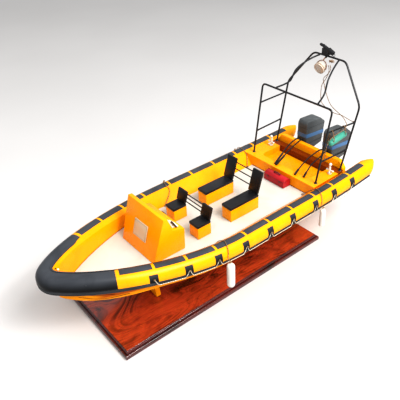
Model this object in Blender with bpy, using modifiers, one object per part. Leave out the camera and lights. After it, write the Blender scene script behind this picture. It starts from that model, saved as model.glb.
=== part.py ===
"""Display model of a rigid inflatable boat with two outboards, on a wooden plinth.

Metres, +X to the bow, +Y to port, +Z up. The origin is the middle of the plinth's underside.
"""
import math

import bmesh
import bpy
from mathutils import Matrix, Vector

# Gap kept between two pieces that touch
GAP = 0.0003
FINE_MERGE = 0.00001

# Plinth
PLINTH_LENGTH = 0.3545
PLINTH_WIDTH = 0.1535
PLINTH_HEIGHT = 0.0098
PLINTH_FOOT_HEIGHT = 0.0060
PLINTH_STEP_IN = 0.0030
PLINTH_TOP_IN = 0.0050

# Boat: deck level and the line of the inflatable tube's centre
DECK_Z = 0.0835
DECK_THICK = 0.0010
TUBE_RADIUS = 0.0127
TUBE_HALF_SPAN = 0.0828
TUBE_Z = 0.0898
TUBE_RISE = 0.0202
TUBE_RISE_POWER = 1.53
BEND_START_X = -0.0027
BEND_END_X = 0.2248
PLAN_POWER = 1.76
PLAN_FULLNESS = 0.70
NOSE_RADIUS = 0.0158
STERN_BEND_X = -0.140
STERN_RISE = 0.0032
STERN_TOE_IN = 0.0026
STERN_STEPS = 3
CONE_START_X = -0.267
CONE_END_X = -0.287
CONE_END_RADIUS = 0.0016
CONE_LIFT = 0.0040
BEND_STEPS = 15
NOSE_STEPS = 5

# Rubbing strake: a bead along the tube's outer lower side
STRAKE_RADIUS = 0.0008
STRAKE_ANGLE = math.radians(-34)

# Hull, measured inward from the tube's centre line and from the deck
HULL_STERN_X = -0.2300
FLOOR_Z = DECK_Z - DECK_THICK - GAP
KEEL_Z = 0.0345
KEEL_LIFT_START_X = 0.135
KEEL_NOSE_Z = 0.0760
WALL_FOOT_AFT = 0.0252
WALL_FOOT_BOW = 0.0145
WALL_FOOT_AFT_X = -0.020
WALL_FOOT_BOW_X = 0.098
WALL_TOP_IN = 0.0124
WALL_TOP_UP = 0.0068
CHINE_IN = 0.0030
CHINE_DOWN = 0.0258
CHINE_BOW_DROP = 0.0070
CHINE_BOW_START_X = 0.088
CHINE_BOW_END_X = 0.180
CHINE_NOSE_LIFT = 0.0175
RAIL_STEP = 0.0016
WALL_THICK = 0.0008
NOSE_EXTRA_GAPS = 2

# Aft deck and transom
BULKHEAD_X = -0.1615
AFT_DECK_TOP_Z = 0.1004
WELL_FRONT_X = -0.1745
WELL_BACK_X = -0.2185
WELL_HALF_WIDTH = 0.0500
WELL_DEPTH = 0.0095
WELL_CORNER = 0.0100
DECK_LIP = 0.0012
TRANSOM_THICK = 0.0075
TRANSOM_TOP_Z = 0.1125
TRANSOM_TOP_HALF = 0.0590
TRANSOM_SIDE_HALF = 0.0674

# Console
CONSOLE_FRONT_X = 0.0990
CONSOLE_AFT_X = 0.0490
CONSOLE_TOP_FRONT_X = 0.0803
CONSOLE_TOP_Z = DECK_Z + 0.0615
CONSOLE_SLAB = 0.0058
CONSOLE_DASH_FRONT = (0.0675, DECK_Z + 0.0397)
CONSOLE_DASH_AFT = (0.0490, DECK_Z + 0.0336)
CONSOLE_HALF_FOOT = 0.0368
CONSOLE_HALF_TOP = 0.0395
WINDOW_WIDE = 0.0284
WINDOW_TALL = 0.0232
WINDOW_THICK = 0.0010
WINDOW_UP = 0.0297
WINDOW_Y = -0.0009

# Steering wheel, on the console's aft face
WHEEL_RADIUS = 0.0085
WHEEL_ROD = 0.0008
WHEEL_Y = -0.012
WHEEL_UP = 0.0205
WHEEL_COLUMN = 0.0042
WHEEL_TILT = math.radians(70)

# Control levers: name, place across, place back, lean forward, rise
LEVER_ROD = 0.0009
LEVERS = [("white", 0.0020, -0.0020, 0.0058, 0.0115), ("black", -0.0020, 0.0024, 0.0078, 0.0085)]

# Seats: name, front x, length, height of the box, height of the back
SEAT_INNER_Y = 0.0172
SEAT_WIDTH = 0.0185
SEAT_PAD = 0.0046
SEAT_BACK_THICK = 0.0034
SEAT_BACK_LEAN = math.radians(17)
SEATS = [
    ("front", 0.0257, 0.0220, 0.0175, 0.0175),
    ("rear", -0.0322, 0.0525, 0.0187, 0.0330),
]
RAIL_ROD = 0.00080
RAIL_HEIGHTS = (0.22, 0.55, 0.84)

# Cradles: name, middle x; both are cut to the hull's underside
CRADLES = [("front", 0.0876), ("rear", -0.1040)]
CRADLE_THICK = 0.0072
CRADLE_FOOT_OUT = 0.0215
CRADLE_FOOT_IN = 0.0150
CRADLE_FOOT_RISE = 0.0012
CRADLE_ARCH_UP = 0.0024
CRADLE_WAIST = (0.0185, 0.0260)
CRADLE_REACH = 0.0370
CRADLE_TOP_Z = 0.0600

# Arch of black rod: two hoops, rungs and two braces
ROD = 0.00140
HOOP_FRONT = [(-0.1723, 0.0646, AFT_DECK_TOP_Z), (-0.1912, 0.0671, 0.2112)]
HOOP_REAR = [(-0.2260, 0.0655, AFT_DECK_TOP_Z), (-0.2501, 0.0690, 0.1980), (-0.2597, 0.0297, 0.2519)]
HOOP_BEND = 0.0065
RUNGS = [
    ("low", "port", 1, 0.305, 0.336), ("low", "starboard", -1, 0.321, 0.374),
    ("high", "port", 1, 0.704, 0.767), ("high", "starboard", -1, 0.732, 0.820),
]
BRACE_FRONT_Y = 0.0407
BRACE_REAR_Y = 0.0175
# Share of the way from the front hoop to the rear one, and how far off the straight line in height
BRACE_BENDS = [(0.20, -0.0052), (0.34, -0.0062), (0.39, -0.0003), (0.455, 0.0050), (0.61, 0.0061), (0.80, 0.0042)]

# Outboards
ENGINE_Y = 0.0261
COWL_HALF_WIDTH = 0.0098
COWL_OUTLINE = [
    (-0.2412, 0.1010), (-0.2412, 0.1405), (-0.2446, 0.1450), (-0.2742, 0.1432),
    (-0.2853, 0.1338), (-0.2806, 0.0985), (-0.2620, 0.0945),
]
LEG_TOP = (-0.2580, 0.0941)
LEG_FOOT_Z = 0.0450
LEG_CHORD = 0.0120
LEG_THICK = 0.0050
GEARCASE_RADIUS = 0.0034
GEARCASE_LENGTH = 0.0240
PROP_X = -0.2755
PROP_RADIUS = 0.0095
PROP_HUB_RADIUS = 0.0028
PROP_HUB_LENGTH = 0.0060
PROP_BLADES = 3

# Control cables: from each cowl's front to the bulkhead's rim, as routes chosen by eye
CABLE_RADIUS = 0.00095
CABLES = {
    "starboard_outer": [(-0.2395, -0.0285, 0.1150), (-0.2300, -0.0270, 0.1172), (-0.2146, -0.0246, 0.1160),
                        (-0.1966, -0.0205, 0.1120), (-0.1800, -0.0160, 0.1068), (-0.1675, -0.0128, 0.1020)],
    "starboard_inner": [(-0.2395, -0.0225, 0.1145), (-0.2290, -0.0199, 0.1160), (-0.2093, -0.0160, 0.1144),
                        (-0.1944, -0.0139, 0.1104), (-0.1800, -0.0120, 0.1056), (-0.1665, -0.0095, 0.1020)],
    "port_inner": [(-0.2395, 0.0215, 0.1140), (-0.2290, 0.0212, 0.1158), (-0.2166, 0.0212, 0.1140),
                   (-0.2007, 0.0226, 0.1118), (-0.1850, 0.0250, 0.1078), (-0.1660, 0.0295, 0.1020)],
    "port_outer": [(-0.2395, 0.0295, 0.1140), (-0.2300, 0.0305, 0.1152), (-0.2187, 0.0324, 0.1128),
                   (-0.1984, 0.0345, 0.1098), (-0.1860, 0.0375, 0.1058), (-0.1705, 0.0430, 0.1020)],
}

# Searchlight and horn at the top of the rear hoop
LIGHT_CENTRE = (-0.2500, -0.0066, 0.2372)
LIGHT_RADIUS = 0.0087
LIGHT_DEPTH = 0.0100
LIGHT_DOWN = math.radians(21)
YOKE_ROD = 0.0007
HORN_START = (-0.2594, -0.0175, 0.2665)
HORN_END = (-0.2594, 0.0066, 0.2578)
HORN_CLAMP_Y = (-0.0125, -0.0010)
HORN_CLAMP_UP = 0.0090

# Light cords: one is tied at the rung's aft end, the other runs on along the rung and hangs
CORD_RADIUS = 0.00045
LIGHT_CORD_TIED = [
    (-0.2560, 0.0020, 0.2405), (-0.2566, 0.0036, 0.2350), (-0.2566, 0.0030, 0.2270), (-0.2562, -0.0010, 0.2176),
    (-0.2560, -0.0060, 0.2084), (-0.2560, -0.0072, 0.2011), (-0.2551, -0.0060, 0.1890), (-0.2544, -0.0018, 0.1795),
    (-0.2529, 0.0130, 0.1738), (-0.2515, 0.0258, 0.1728), (-0.2500, 0.0400, 0.1748), (-0.2470, 0.0560, 0.1742),
    (-0.2446, 0.0658, 0.1752),
]
LIGHT_CORD_LONG = [
    (-0.2575, 0.0040, 0.2405), (-0.2582, 0.0052, 0.2340), (-0.2580, 0.0010, 0.2260), (-0.2577, -0.0060, 0.2170),
    (-0.2572, -0.0030, 0.2085), (-0.2550, 0.0030, 0.1985), (-0.2421, 0.0249, 0.1885), (-0.2306, 0.0545, 0.1852),
    (-0.2249, 0.0655, 0.1830), (-0.2215, 0.0712, 0.1790), (-0.2140, 0.0716, 0.1745), (-0.2057, 0.0712, 0.1735),
    (-0.1950, 0.0712, 0.1722), (-0.1850, 0.0718, 0.1685), (-0.1800, 0.0716, 0.1600), (-0.1790, 0.0714, 0.1500),
    (-0.1788, 0.0712, 0.1410),
]

# Green float tied under the port upper rung
FLOAT_START = (-0.1890, 0.0684, 0.1600)
FLOAT_END = (-0.2245, 0.0684, 0.1658)
FLOAT_RADIUS = 0.0047

# Toolbox against the bulkhead
TOOLBOX_LOW_Y = -0.0150
TOOLBOX_LENGTH = 0.0410
TOOLBOX_DEPTH = 0.0152
TOOLBOX_BODY = 0.0100
TOOLBOX_HEIGHT = 0.0140
TOOLBOX_LID_IN = 0.0042

# Mooring bitts on the aft deck's corners
BITT_X = -0.2080
BITT_Y = 0.0605
BITT_HEIGHT = 0.0165
BITT_RADIUS = 0.0017
BITT_ARM = 0.0052

# Fenders: side, x at the deck, x on the tube, x of the fender, radius, length
FENDERS = [
    ("port_front", 1, 0.0120, 0.0180, 0.0290, 0.0058, 0.0400),
    ("port_aft", 1, -0.1550, -0.1580, -0.1440, 0.0045, 0.0320),
    ("starboard_front", -1, 0.0125, -0.0050, -0.0205, 0.0058, 0.0400),
    ("starboard_aft", -1, -0.1500, -0.1600, -0.1660, 0.0045, 0.0320),
]
FENDER_TOP_Z = 0.0900

# Lifelines: a cord through eyes on the tube, one eye at each gap between the top patches
PATCH_FRONT_X = 0.1570
PATCH_PITCH = 0.0414
EYES = 9
EYE_ANGLE = math.radians(12)
SAG_ANGLE = math.radians(-40)
SPAN_STEPS = 6

# Colours and roughness from the photo
COLOURS = {
    "yellow": ((0.95, 0.48, 0.01, 1.0), 0.28, 0.0),
    "cream": ((0.88, 0.84, 0.74, 1.0), 0.40, 0.0),
    "black": ((0.012, 0.015, 0.020, 1.0), 0.32, 0.0),
    "grey": ((0.10, 0.11, 0.12, 1.0), 0.40, 0.0),
    "white": ((0.85, 0.84, 0.80, 1.0), 0.35, 0.0),
    "rod": ((0.020, 0.022, 0.024, 1.0), 0.35, 0.2),
    "wood": ((0.28, 0.055, 0.022, 1.0), 0.22, 0.0),
    "red": ((0.55, 0.02, 0.05, 1.0), 0.35, 0.0),
    "teal": ((0.10, 0.55, 0.38, 1.0), 0.45, 0.0),
    "cord": ((0.70, 0.58, 0.44, 1.0), 0.80, 0.0),
    "brass": ((0.62, 0.45, 0.18, 1.0), 0.35, 0.9),
}


def clear_scene():
    for old in list(bpy.data.objects):
        bpy.data.objects.remove(old, do_unlink=True)


def make_collection(name):
    made = bpy.data.collections.new(name)
    bpy.context.scene.collection.children.link(made)
    return made


clear_scene()
BOAT = make_collection("rigid_inflatable_boat_model")
CUTTERS = make_collection("cutters")


def material(name):
    found = bpy.data.materials.get(name)
    if found:
        return found
    colour, roughness, metallic = COLOURS[name]
    made = bpy.data.materials.new(name)
    made.use_nodes = True
    shader = made.node_tree.nodes["Principled BSDF"]
    shader.inputs["Base Color"].default_value = colour
    shader.inputs["Roughness"].default_value = roughness
    shader.inputs["Metallic"].default_value = metallic
    made.diffuse_color = colour
    return made


def add_object(name, data, finish, collection=None):
    made = bpy.data.objects.new(name, data)
    (collection or BOAT).objects.link(made)
    if finish:
        data.materials.append(material(finish))
    return made


def add_cutter(name, mesh):
    cutter = add_object(name, mesh, None, CUTTERS)
    cutter.hide_render = True
    cutter.display_type = "WIRE"
    return cutter


def cut(target, cutter, operation="DIFFERENCE"):
    boolean = target.modifiers.new(cutter.name, "BOOLEAN")
    boolean.operation = operation
    boolean.solver = "EXACT"
    boolean.object = cutter


def bevel(target, width, segments=2, angle=math.radians(30)):
    edge = target.modifiers.new("edge", "BEVEL")
    edge.width = width
    edge.segments = segments
    edge.limit_method = "ANGLE"
    edge.angle_limit = angle


def mesh_from(name, build):
    bm = bmesh.new()
    build(bm)
    bmesh.ops.recalc_face_normals(bm, faces=bm.faces)
    mesh = bpy.data.meshes.new(name)
    bm.to_mesh(mesh)
    bm.free()
    return mesh


def box(name, low, high, finish, edge=0.0, collection=None):
    size = Vector(high) - Vector(low)
    middle = (Vector(high) + Vector(low)) / 2

    def build(bm):
        bmesh.ops.create_cube(bm, size=1.0, matrix=Matrix.Diagonal((*size, 1.0)))

    made = add_object(name, mesh_from(name, build), finish, collection)
    made.location = middle
    if edge:
        bevel(made, edge)
    return made


def plate(name, outline, thickness, finish, matrix=None, collection=None):
    """A flat outline of (across, up) points, extruded both ways by half the thickness."""
    curve = bpy.data.curves.new(name, "CURVE")
    curve.dimensions = "2D"
    curve.fill_mode = "BOTH"
    curve.extrude = thickness / 2
    spline = curve.splines.new("POLY")
    spline.points.add(len(outline) - 1)
    for point, (across, up) in zip(spline.points, outline):
        point.co = (across, up, 0.0, 1.0)
    spline.use_cyclic_u = True
    made = add_object(name, curve, finish, collection)
    if matrix:
        made.matrix_world = matrix
    return made


def facing_x(x, y=0.0):
    """Lays a flat outline of (y, z) points in the plane across the boat at x."""
    return Matrix.Translation((x, y, 0)) @ Matrix(((0, 0, 1, 0), (1, 0, 0, 0), (0, 1, 0, 0), (0, 0, 0, 1)))


def facing_y(y):
    """Lays a flat outline of (x, z) points in the fore-and-aft plane at y."""
    return Matrix.Translation((0, y, 0)) @ Matrix(((1, 0, 0, 0), (0, 0, -1, 0), (0, 1, 0, 0), (0, 0, 0, 1)))


def facing_up(z):
    return Matrix.Translation((0, 0, z))


def rod(name, points, radius, finish, resolution=2, radii=None, cyclic=False):
    curve = bpy.data.curves.new(name, "CURVE")
    curve.dimensions = "3D"
    curve.twist_mode = "Z_UP"
    curve.bevel_depth = radius
    curve.bevel_resolution = resolution
    curve.use_fill_caps = not cyclic
    add_spline(curve, points, radii, cyclic)
    return add_object(name, curve, finish)


def add_spline(curve, points, radii=None, cyclic=False):
    spline = curve.splines.new("POLY")
    spline.points.add(len(points) - 1)
    for index, place in enumerate(points):
        spline.points[index].co = (*place, 1.0)
        if radii:
            spline.points[index].radius = radii[index]
    spline.use_cyclic_u = cyclic


def as_mesh(obj):
    """Turns a curve object into a mesh object with welded caps."""
    bpy.context.view_layer.update()
    graph = bpy.context.evaluated_depsgraph_get()
    mesh = bpy.data.meshes.new_from_object(obj.evaluated_get(graph))
    name = obj.name
    world = obj.matrix_world.copy()
    bm = bmesh.new()
    bm.from_mesh(mesh)
    bmesh.ops.remove_doubles(bm, verts=bm.verts, dist=FINE_MERGE)
    bmesh.ops.recalc_face_normals(bm, faces=bm.faces)
    bm.to_mesh(mesh)
    bm.free()
    finishes = [slot.material for slot in obj.material_slots]
    bpy.data.objects.remove(obj, do_unlink=True)
    made = bpy.data.objects.new(name, mesh)
    BOAT.objects.link(made)
    made.matrix_world = world
    if not mesh.materials and finishes:
        mesh.materials.append(finishes[0])
    return made


def turned(name, profile, location, finish, steps=20, rotation=(0, 0, 0), collection=None):
    """Turns (radius, height) points, listed top to bottom, about the local Z axis."""
    def build(bm):
        verts = [bm.verts.new((radius, 0, height)) for radius, height in profile]
        for above, below in zip(verts, verts[1:]):
            bm.edges.new((above, below))

    mesh = bpy.data.meshes.new(name)
    bm = bmesh.new()
    build(bm)
    bm.to_mesh(mesh)
    bm.free()
    made = add_object(name, mesh, finish, collection)
    screw = made.modifiers.new("turn", "SCREW")
    screw.steps = steps
    screw.render_steps = steps
    screw.use_merge_vertices = True
    screw.merge_threshold = FINE_MERGE
    made.location = location
    made.rotation_euler = rotation
    return made


def smooth_route(route, spacing):
    """Points about one spacing apart on a smooth curve through the route's own points."""
    ends = [Vector(route[0]) * 2 - Vector(route[1])]
    ends += [Vector(place) for place in route]
    ends += [Vector(route[-1]) * 2 - Vector(route[-2])]
    fine = []
    for before, start, stop, after in zip(ends, ends[1:], ends[2:], ends[3:]):
        for step in range(12):
            t = step / 12
            fine.append(0.5 * (2 * start + (stop - before) * t
                               + (2 * before - 5 * start + 4 * stop - after) * t * t
                               + (3 * start - before - 3 * stop + after) * t ** 3))
    fine.append(ends[-2])
    reach = [0.0]
    for here, there in zip(fine, fine[1:]):
        reach.append(reach[-1] + (there - here).length)
    count = max(4, round(reach[-1] / spacing))
    places = []
    seek = 0
    for index in range(count + 1):
        want = reach[-1] * index / count
        while seek < len(reach) - 2 and reach[seek + 1] < want:
            seek += 1
        span = reach[seek + 1] - reach[seek]
        share = (want - reach[seek]) / span if span else 0.0
        places.append(fine[seek].lerp(fine[seek + 1], min(1.0, share)))
    return places


def bend_share(x):
    return min(1.0, max(0.0, (x - BEND_START_X) / (BEND_END_X - BEND_START_X)))


def stern_share(x):
    return max(0.0, (STERN_BEND_X - x) / (STERN_BEND_X - CONE_START_X))


def tube_y(x):
    """Half span of the tube's centre line, before the nose arc blunts it."""
    toe_in = STERN_TOE_IN * stern_share(x) ** 2
    return TUBE_HALF_SPAN * (1 - bend_share(x) ** PLAN_POWER) ** PLAN_FULLNESS - toe_in


def tube_z(x):
    return TUBE_Z + TUBE_RISE * bend_share(x) ** TUBE_RISE_POWER + STERN_RISE * stern_share(x) ** 2


def tube_slope(x, step=0.00002):
    return (tube_y(x + step) - tube_y(x - step)) / (2 * step)


def nose_join():
    """The x where a circle of NOSE_RADIUS about the centre plane meets the plan curve."""
    low = BEND_START_X + 0.1
    high = BEND_END_X - 0.0001
    for _ in range(50):
        middle = (low + high) / 2
        if tube_y(middle) * math.hypot(1, tube_slope(middle)) > NOSE_RADIUS:
            low = middle
        else:
            high = middle
    return low


def stern_breaks():
    length = STERN_BEND_X - HULL_STERN_X
    return [HULL_STERN_X + length * step / STERN_STEPS for step in range(STERN_STEPS + 1)]


def tube_stations(stern_x):
    """Port half of the tube's centre line, stern to nose: (centre, outward unit normal)."""
    stations = []
    straight = [stern_x] if stern_x < HULL_STERN_X else []
    for x in straight + stern_breaks() + [(STERN_BEND_X + BEND_START_X) / 2]:
        stations.append((Vector((x, tube_y(x), tube_z(x))), Vector((0, 1, 0))))
    join = nose_join()
    for index in range(BEND_STEPS):
        share = index / (BEND_STEPS - 1)
        x = BEND_START_X + (join - BEND_START_X) * math.sin(share * math.pi / 2) ** 0.9
        slope = tube_slope(x) if index else 0.0
        outward = Vector((-slope, 1, 0)).normalized()
        stations.append((Vector((x, tube_y(x), tube_z(x))), outward))
    last, outward = stations[-1]
    pivot_x = last.x - outward.x * NOSE_RADIUS
    start_angle = math.atan2(outward.y, outward.x)
    for index in range(1, NOSE_STEPS + 1):
        angle = start_angle * (1 - index / NOSE_STEPS)
        across = Vector((math.cos(angle), math.sin(angle), 0))
        x = pivot_x + across.x * NOSE_RADIUS
        stations.append((Vector((x, across.y * NOSE_RADIUS, tube_z(x))), across))
    return stations


def mirrored(stations):
    """The whole U, port stern to starboard stern, from the port half."""
    flip = Matrix.Scale(-1, 3, Vector((0, 1, 0)))
    other = [(flip @ place, flip @ outward) for place, outward in stations[-2::-1]]
    return stations + other


def off_tube(place, outward, angle, reach):
    """A point at the given angle above horizontal, reach from the tube's centre."""
    return place + outward * math.cos(angle) * reach + Vector((0, 0, math.sin(angle) * reach))


def build_plinth():
    half_length = PLINTH_LENGTH / 2
    half_width = PLINTH_WIDTH / 2
    # Each ring of the moulding: how far in from the edge, and how high
    rings = [(0.0005, 0.0), (0.0, 0.0006), (0.0, PLINTH_FOOT_HEIGHT - 0.0012),
             (0.0006, PLINTH_FOOT_HEIGHT - 0.0003), (0.0016, PLINTH_FOOT_HEIGHT),
             (PLINTH_STEP_IN, PLINTH_FOOT_HEIGHT - 0.0004), (PLINTH_STEP_IN + 0.0004, PLINTH_FOOT_HEIGHT + 0.0012),
             (PLINTH_TOP_IN - 0.0008, PLINTH_HEIGHT - 0.0014), (PLINTH_TOP_IN - 0.0008, PLINTH_HEIGHT - 0.0005),
             (PLINTH_TOP_IN, PLINTH_HEIGHT)]

    def build(bm):
        loops = []
        for inset, height in rings:
            x = half_length - inset
            y = half_width - inset
            corners = [(x, y), (-x, y), (-x, -y), (x, -y)]
            loops.append([bm.verts.new((cx, cy, height)) for cx, cy in corners])
        bridge(bm, loops)

    add_object("plinth", mesh_from("plinth", build), "wood")


def bridge(bm, loops, close=True):
    """Joins rings of equal length with faces, and caps the first and last ring."""
    for low, high in zip(loops, loops[1:]):
        count = len(low)
        for index in range(count if close else count - 1):
            after = (index + 1) % count
            bm.faces.new((low[index], low[after], high[after], high[index]))
    bm.faces.new(loops[0][::-1])
    bm.faces.new(loops[-1])


def wall_foot(x):
    share = min(1.0, max(0.0, (x - WALL_FOOT_AFT_X) / (WALL_FOOT_BOW_X - WALL_FOOT_AFT_X)))
    ease = share * share * (3 - 2 * share)
    return WALL_FOOT_AFT + (WALL_FOOT_BOW - WALL_FOOT_AFT) * ease


def chine_down(x, outward):
    """How far the chine lies under the tube's centre: deeper toward the bow, then up at the nose."""
    share = min(1.0, max(0.0, (x - CHINE_BOW_START_X) / (CHINE_BOW_END_X - CHINE_BOW_START_X)))
    ease = share * share * (3 - 2 * share)
    return CHINE_DOWN + CHINE_BOW_DROP * ease - CHINE_NOSE_LIFT * outward.x ** 3


def keel_z(x, nose_x):
    share = min(1.0, max(0.0, (x - KEEL_LIFT_START_X) / (nose_x - KEEL_LIFT_START_X)))
    return KEEL_Z + (KEEL_NOSE_Z - KEEL_Z) * share ** 2.6


def half_section(place, outward, nose_x):
    """Hull outline at one station, as (inward, z), from the floor round to the keel."""
    reach = place.y / outward.y if outward.y > 0.02 else NOSE_RADIUS
    reach = max(reach, NOSE_RADIUS)
    centre_x = place.x - outward.x * reach
    ring = TUBE_RADIUS + GAP * (1 + NOSE_EXTRA_GAPS * max(0.0, outward.x))
    foot = wall_foot(place.x)
    rise = (place.z - FLOOR_Z) / (place.z + WALL_TOP_UP - FLOOR_Z)
    middle = max(foot + (WALL_TOP_IN - foot) * rise, ring + WALL_THICK)
    points = [(reach, FLOOR_Z), (foot, FLOOR_Z), (middle, place.z), (WALL_TOP_IN, place.z + WALL_TOP_UP)]
    for degrees in (124, 138, 155, 173, 194, 216, 238):
        angle = math.radians(degrees)
        points.append((-math.cos(angle) * ring, place.z + math.sin(angle) * ring))
    chine = (CHINE_IN, place.z - chine_down(place.x, outward))
    keel = (reach, keel_z(centre_x, nose_x))
    points.append(chine)
    points.append((CHINE_IN + 0.0022, chine[1] - 0.0004))
    for share in (0.36, 0.68):
        inward = chine[0] + (keel[0] - chine[0]) * share
        height = chine[1] + (keel[1] - chine[1]) * share
        step = RAIL_STEP * (reach / TUBE_HALF_SPAN)
        points.append((inward - step, height - step * 0.4))
        points.append((inward, height + step * 0.5))
    points.append(keel)
    return points


def build_hull(stations):
    nose_x = stations[-1][0].x - NOSE_RADIUS
    loops_made = []

    def build(bm):
        for place, outward in stations:
            port = []
            for inward, height in half_section(place, outward, nose_x):
                spot = place - outward * inward
                port.append(Vector((spot.x, max(0.0, spot.y), height)))
            starboard = [Vector((spot.x, -spot.y, spot.z)) for spot in port[-2:0:-1]]
            loops_made.append([bm.verts.new(spot) for spot in port + starboard])
        for low, high in zip(loops_made, loops_made[1:]):
            count = len(low)
            for index in range(count):
                after = (index + 1) % count
                bm.faces.new((low[index], low[after], high[after], high[index]))
        bm.faces.new(loops_made[0][::-1])
        bmesh.ops.remove_doubles(bm, verts=bm.verts, dist=0.0002)

    add_object("hull", mesh_from("hull", build), "yellow")


def build_cradles():
    """Yellow plates with an arched foot, hollowed on top to fit the hull."""
    hollow = add_cutter("hull_hollow", bpy.data.objects["hull"].data.copy())
    hollow.location = (0, 0, -1.2 * GAP)
    foot_z = PLINTH_HEIGHT + GAP
    steps = 6
    arch = []
    for index in range(steps + 1):
        angle = math.pi * index / steps
        arch.append((-CRADLE_FOOT_IN * math.cos(angle), foot_z + CRADLE_ARCH_UP * math.sin(angle)))
    port = [(CRADLE_FOOT_OUT - CRADLE_FOOT_RISE, foot_z), (CRADLE_FOOT_OUT, foot_z + CRADLE_FOOT_RISE),
            CRADLE_WAIST, (CRADLE_REACH, CRADLE_TOP_Z)]
    outline = port + [(-y, z) for y, z in port[::-1]] + arch
    for place, x in CRADLES:
        cradle = as_mesh(plate("cradle_" + place, outline, CRADLE_THICK, "yellow", facing_x(x)))
        cut(cradle, hollow)


def build_deck(stations):
    port = []
    for place, outward in stations:
        spot = place - outward * (wall_foot(place.x) + 2 * GAP)
        if spot.x > BULKHEAD_X and spot.y > 0.0008:
            port.append((spot.x, spot.y))
    side = TUBE_HALF_SPAN - WALL_FOOT_AFT - 2 * GAP
    front = BULKHEAD_X + GAP
    port = [(front, side)] + port
    outline = port + [(x, -y) for x, y in port[::-1]]
    plate("deck", outline, DECK_THICK, "cream", facing_up(DECK_Z - DECK_THICK / 2))


def build_tube(stations):
    root = stations[0][0]
    tip = Vector((CONE_END_X, root.y, root.z + CONE_LIFT))
    port = [tip, root.lerp(tip, 0.5)] + [place for place, _ in stations]
    centre = port + [Vector((place.x, -place.y, place.z)) for place in port[-2::-1]]
    ends = [CONE_END_RADIUS / TUBE_RADIUS, 0.5 + 0.5 * CONE_END_RADIUS / TUBE_RADIUS]
    radii = ends + [1.0] * (len(centre) - 4) + ends[::-1]
    rod("tube_collar", centre, TUBE_RADIUS, "yellow", resolution=6, radii=radii)


def build_strake(stations):
    reach = TUBE_RADIUS + STRAKE_RADIUS + GAP
    bead = [off_tube(place, outward, STRAKE_ANGLE, reach) for place, outward in mirrored(stations)]
    rod("rub_strake", bead, STRAKE_RADIUS, "grey", resolution=1)


def aft_deck_section(x):
    """Half outline of the aft deck at x, as (y, z): up the hull's wall, then to a lip over its top."""
    foot = tube_y(x) - WALL_FOOT_AFT - 2 * GAP
    shoulder = tube_y(x) - WALL_TOP_IN - 2 * GAP
    return [(foot, FLOOR_Z + GAP), (shoulder, tube_z(x) + WALL_TOP_UP), (shoulder + DECK_LIP, AFT_DECK_TOP_Z)]


def build_aft_deck():
    places = [x for x in stern_breaks() if x < BULKHEAD_X] + [BULKHEAD_X]

    def build(bm):
        loops = []
        for x in places:
            port = aft_deck_section(x)
            outline = port + [(-y, z) for y, z in port[::-1]]
            loops.append([bm.verts.new((x, y, z)) for y, z in outline])
        bridge(bm, loops)

    deck = add_object("aft_deck", mesh_from("aft_deck", build), "yellow")
    corners = [(WELL_BACK_X, WELL_HALF_WIDTH), (WELL_FRONT_X, WELL_HALF_WIDTH),
               (WELL_FRONT_X, -WELL_HALF_WIDTH), (WELL_BACK_X, -WELL_HALF_WIDTH)]
    outline = [place.xy for place in rounded([(x, y, 0.0) for x, y in corners], WELL_CORNER)]
    well = as_mesh(plate("well_cutter", outline, 2 * WELL_DEPTH, None, facing_up(AFT_DECK_TOP_Z)))
    join_by_cutter(deck, well, "DIFFERENCE")


def build_transom():
    half = [(0.0, KEEL_Z + 0.001), (TUBE_HALF_SPAN - CHINE_IN - 0.001, TUBE_Z - CHINE_DOWN),
            (TRANSOM_SIDE_HALF, TUBE_Z - 0.0105), (TRANSOM_SIDE_HALF, AFT_DECK_TOP_Z + 0.0015),
            (TRANSOM_TOP_HALF, TRANSOM_TOP_Z)]
    outline = half + [(-y, z) for y, z in half[:0:-1]]
    middle = HULL_STERN_X - GAP - TRANSOM_THICK / 2
    plate("transom", outline, TRANSOM_THICK, "yellow", facing_x(middle))


def build_console():
    side = [(CONSOLE_AFT_X, DECK_Z + GAP), (CONSOLE_FRONT_X, DECK_Z + GAP),
            (CONSOLE_TOP_FRONT_X, CONSOLE_TOP_Z), (CONSOLE_TOP_FRONT_X - CONSOLE_SLAB, CONSOLE_TOP_Z - 0.0008),
            CONSOLE_DASH_FRONT, CONSOLE_DASH_AFT]

    def half_width(z):
        share = (z - DECK_Z) / (CONSOLE_TOP_Z - DECK_Z)
        return CONSOLE_HALF_FOOT + (CONSOLE_HALF_TOP - CONSOLE_HALF_FOOT) * share

    def build(bm):
        starboard = [bm.verts.new((x, -half_width(z), z)) for x, z in side]
        port = [bm.verts.new((x, half_width(z), z)) for x, z in side]
        bridge(bm, [starboard, port])

    add_object("console", mesh_from("console", build), "yellow")
    lean = math.atan2(CONSOLE_FRONT_X - CONSOLE_TOP_FRONT_X, CONSOLE_TOP_Z - DECK_Z)
    window = box("console_window", (-WINDOW_THICK / 2, -WINDOW_WIDE / 2, -WINDOW_TALL / 2),
                 (WINDOW_THICK / 2, WINDOW_WIDE / 2, WINDOW_TALL / 2), "white")
    share = WINDOW_UP / (CONSOLE_TOP_Z - DECK_Z)
    face_x = CONSOLE_FRONT_X + (CONSOLE_TOP_FRONT_X - CONSOLE_FRONT_X) * share
    out = WINDOW_THICK / 2 + GAP
    window.location = (face_x + math.cos(lean) * out, WINDOW_Y, DECK_Z + WINDOW_UP + math.sin(lean) * out)
    window.rotation_euler = (0, -lean, 0)


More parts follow.
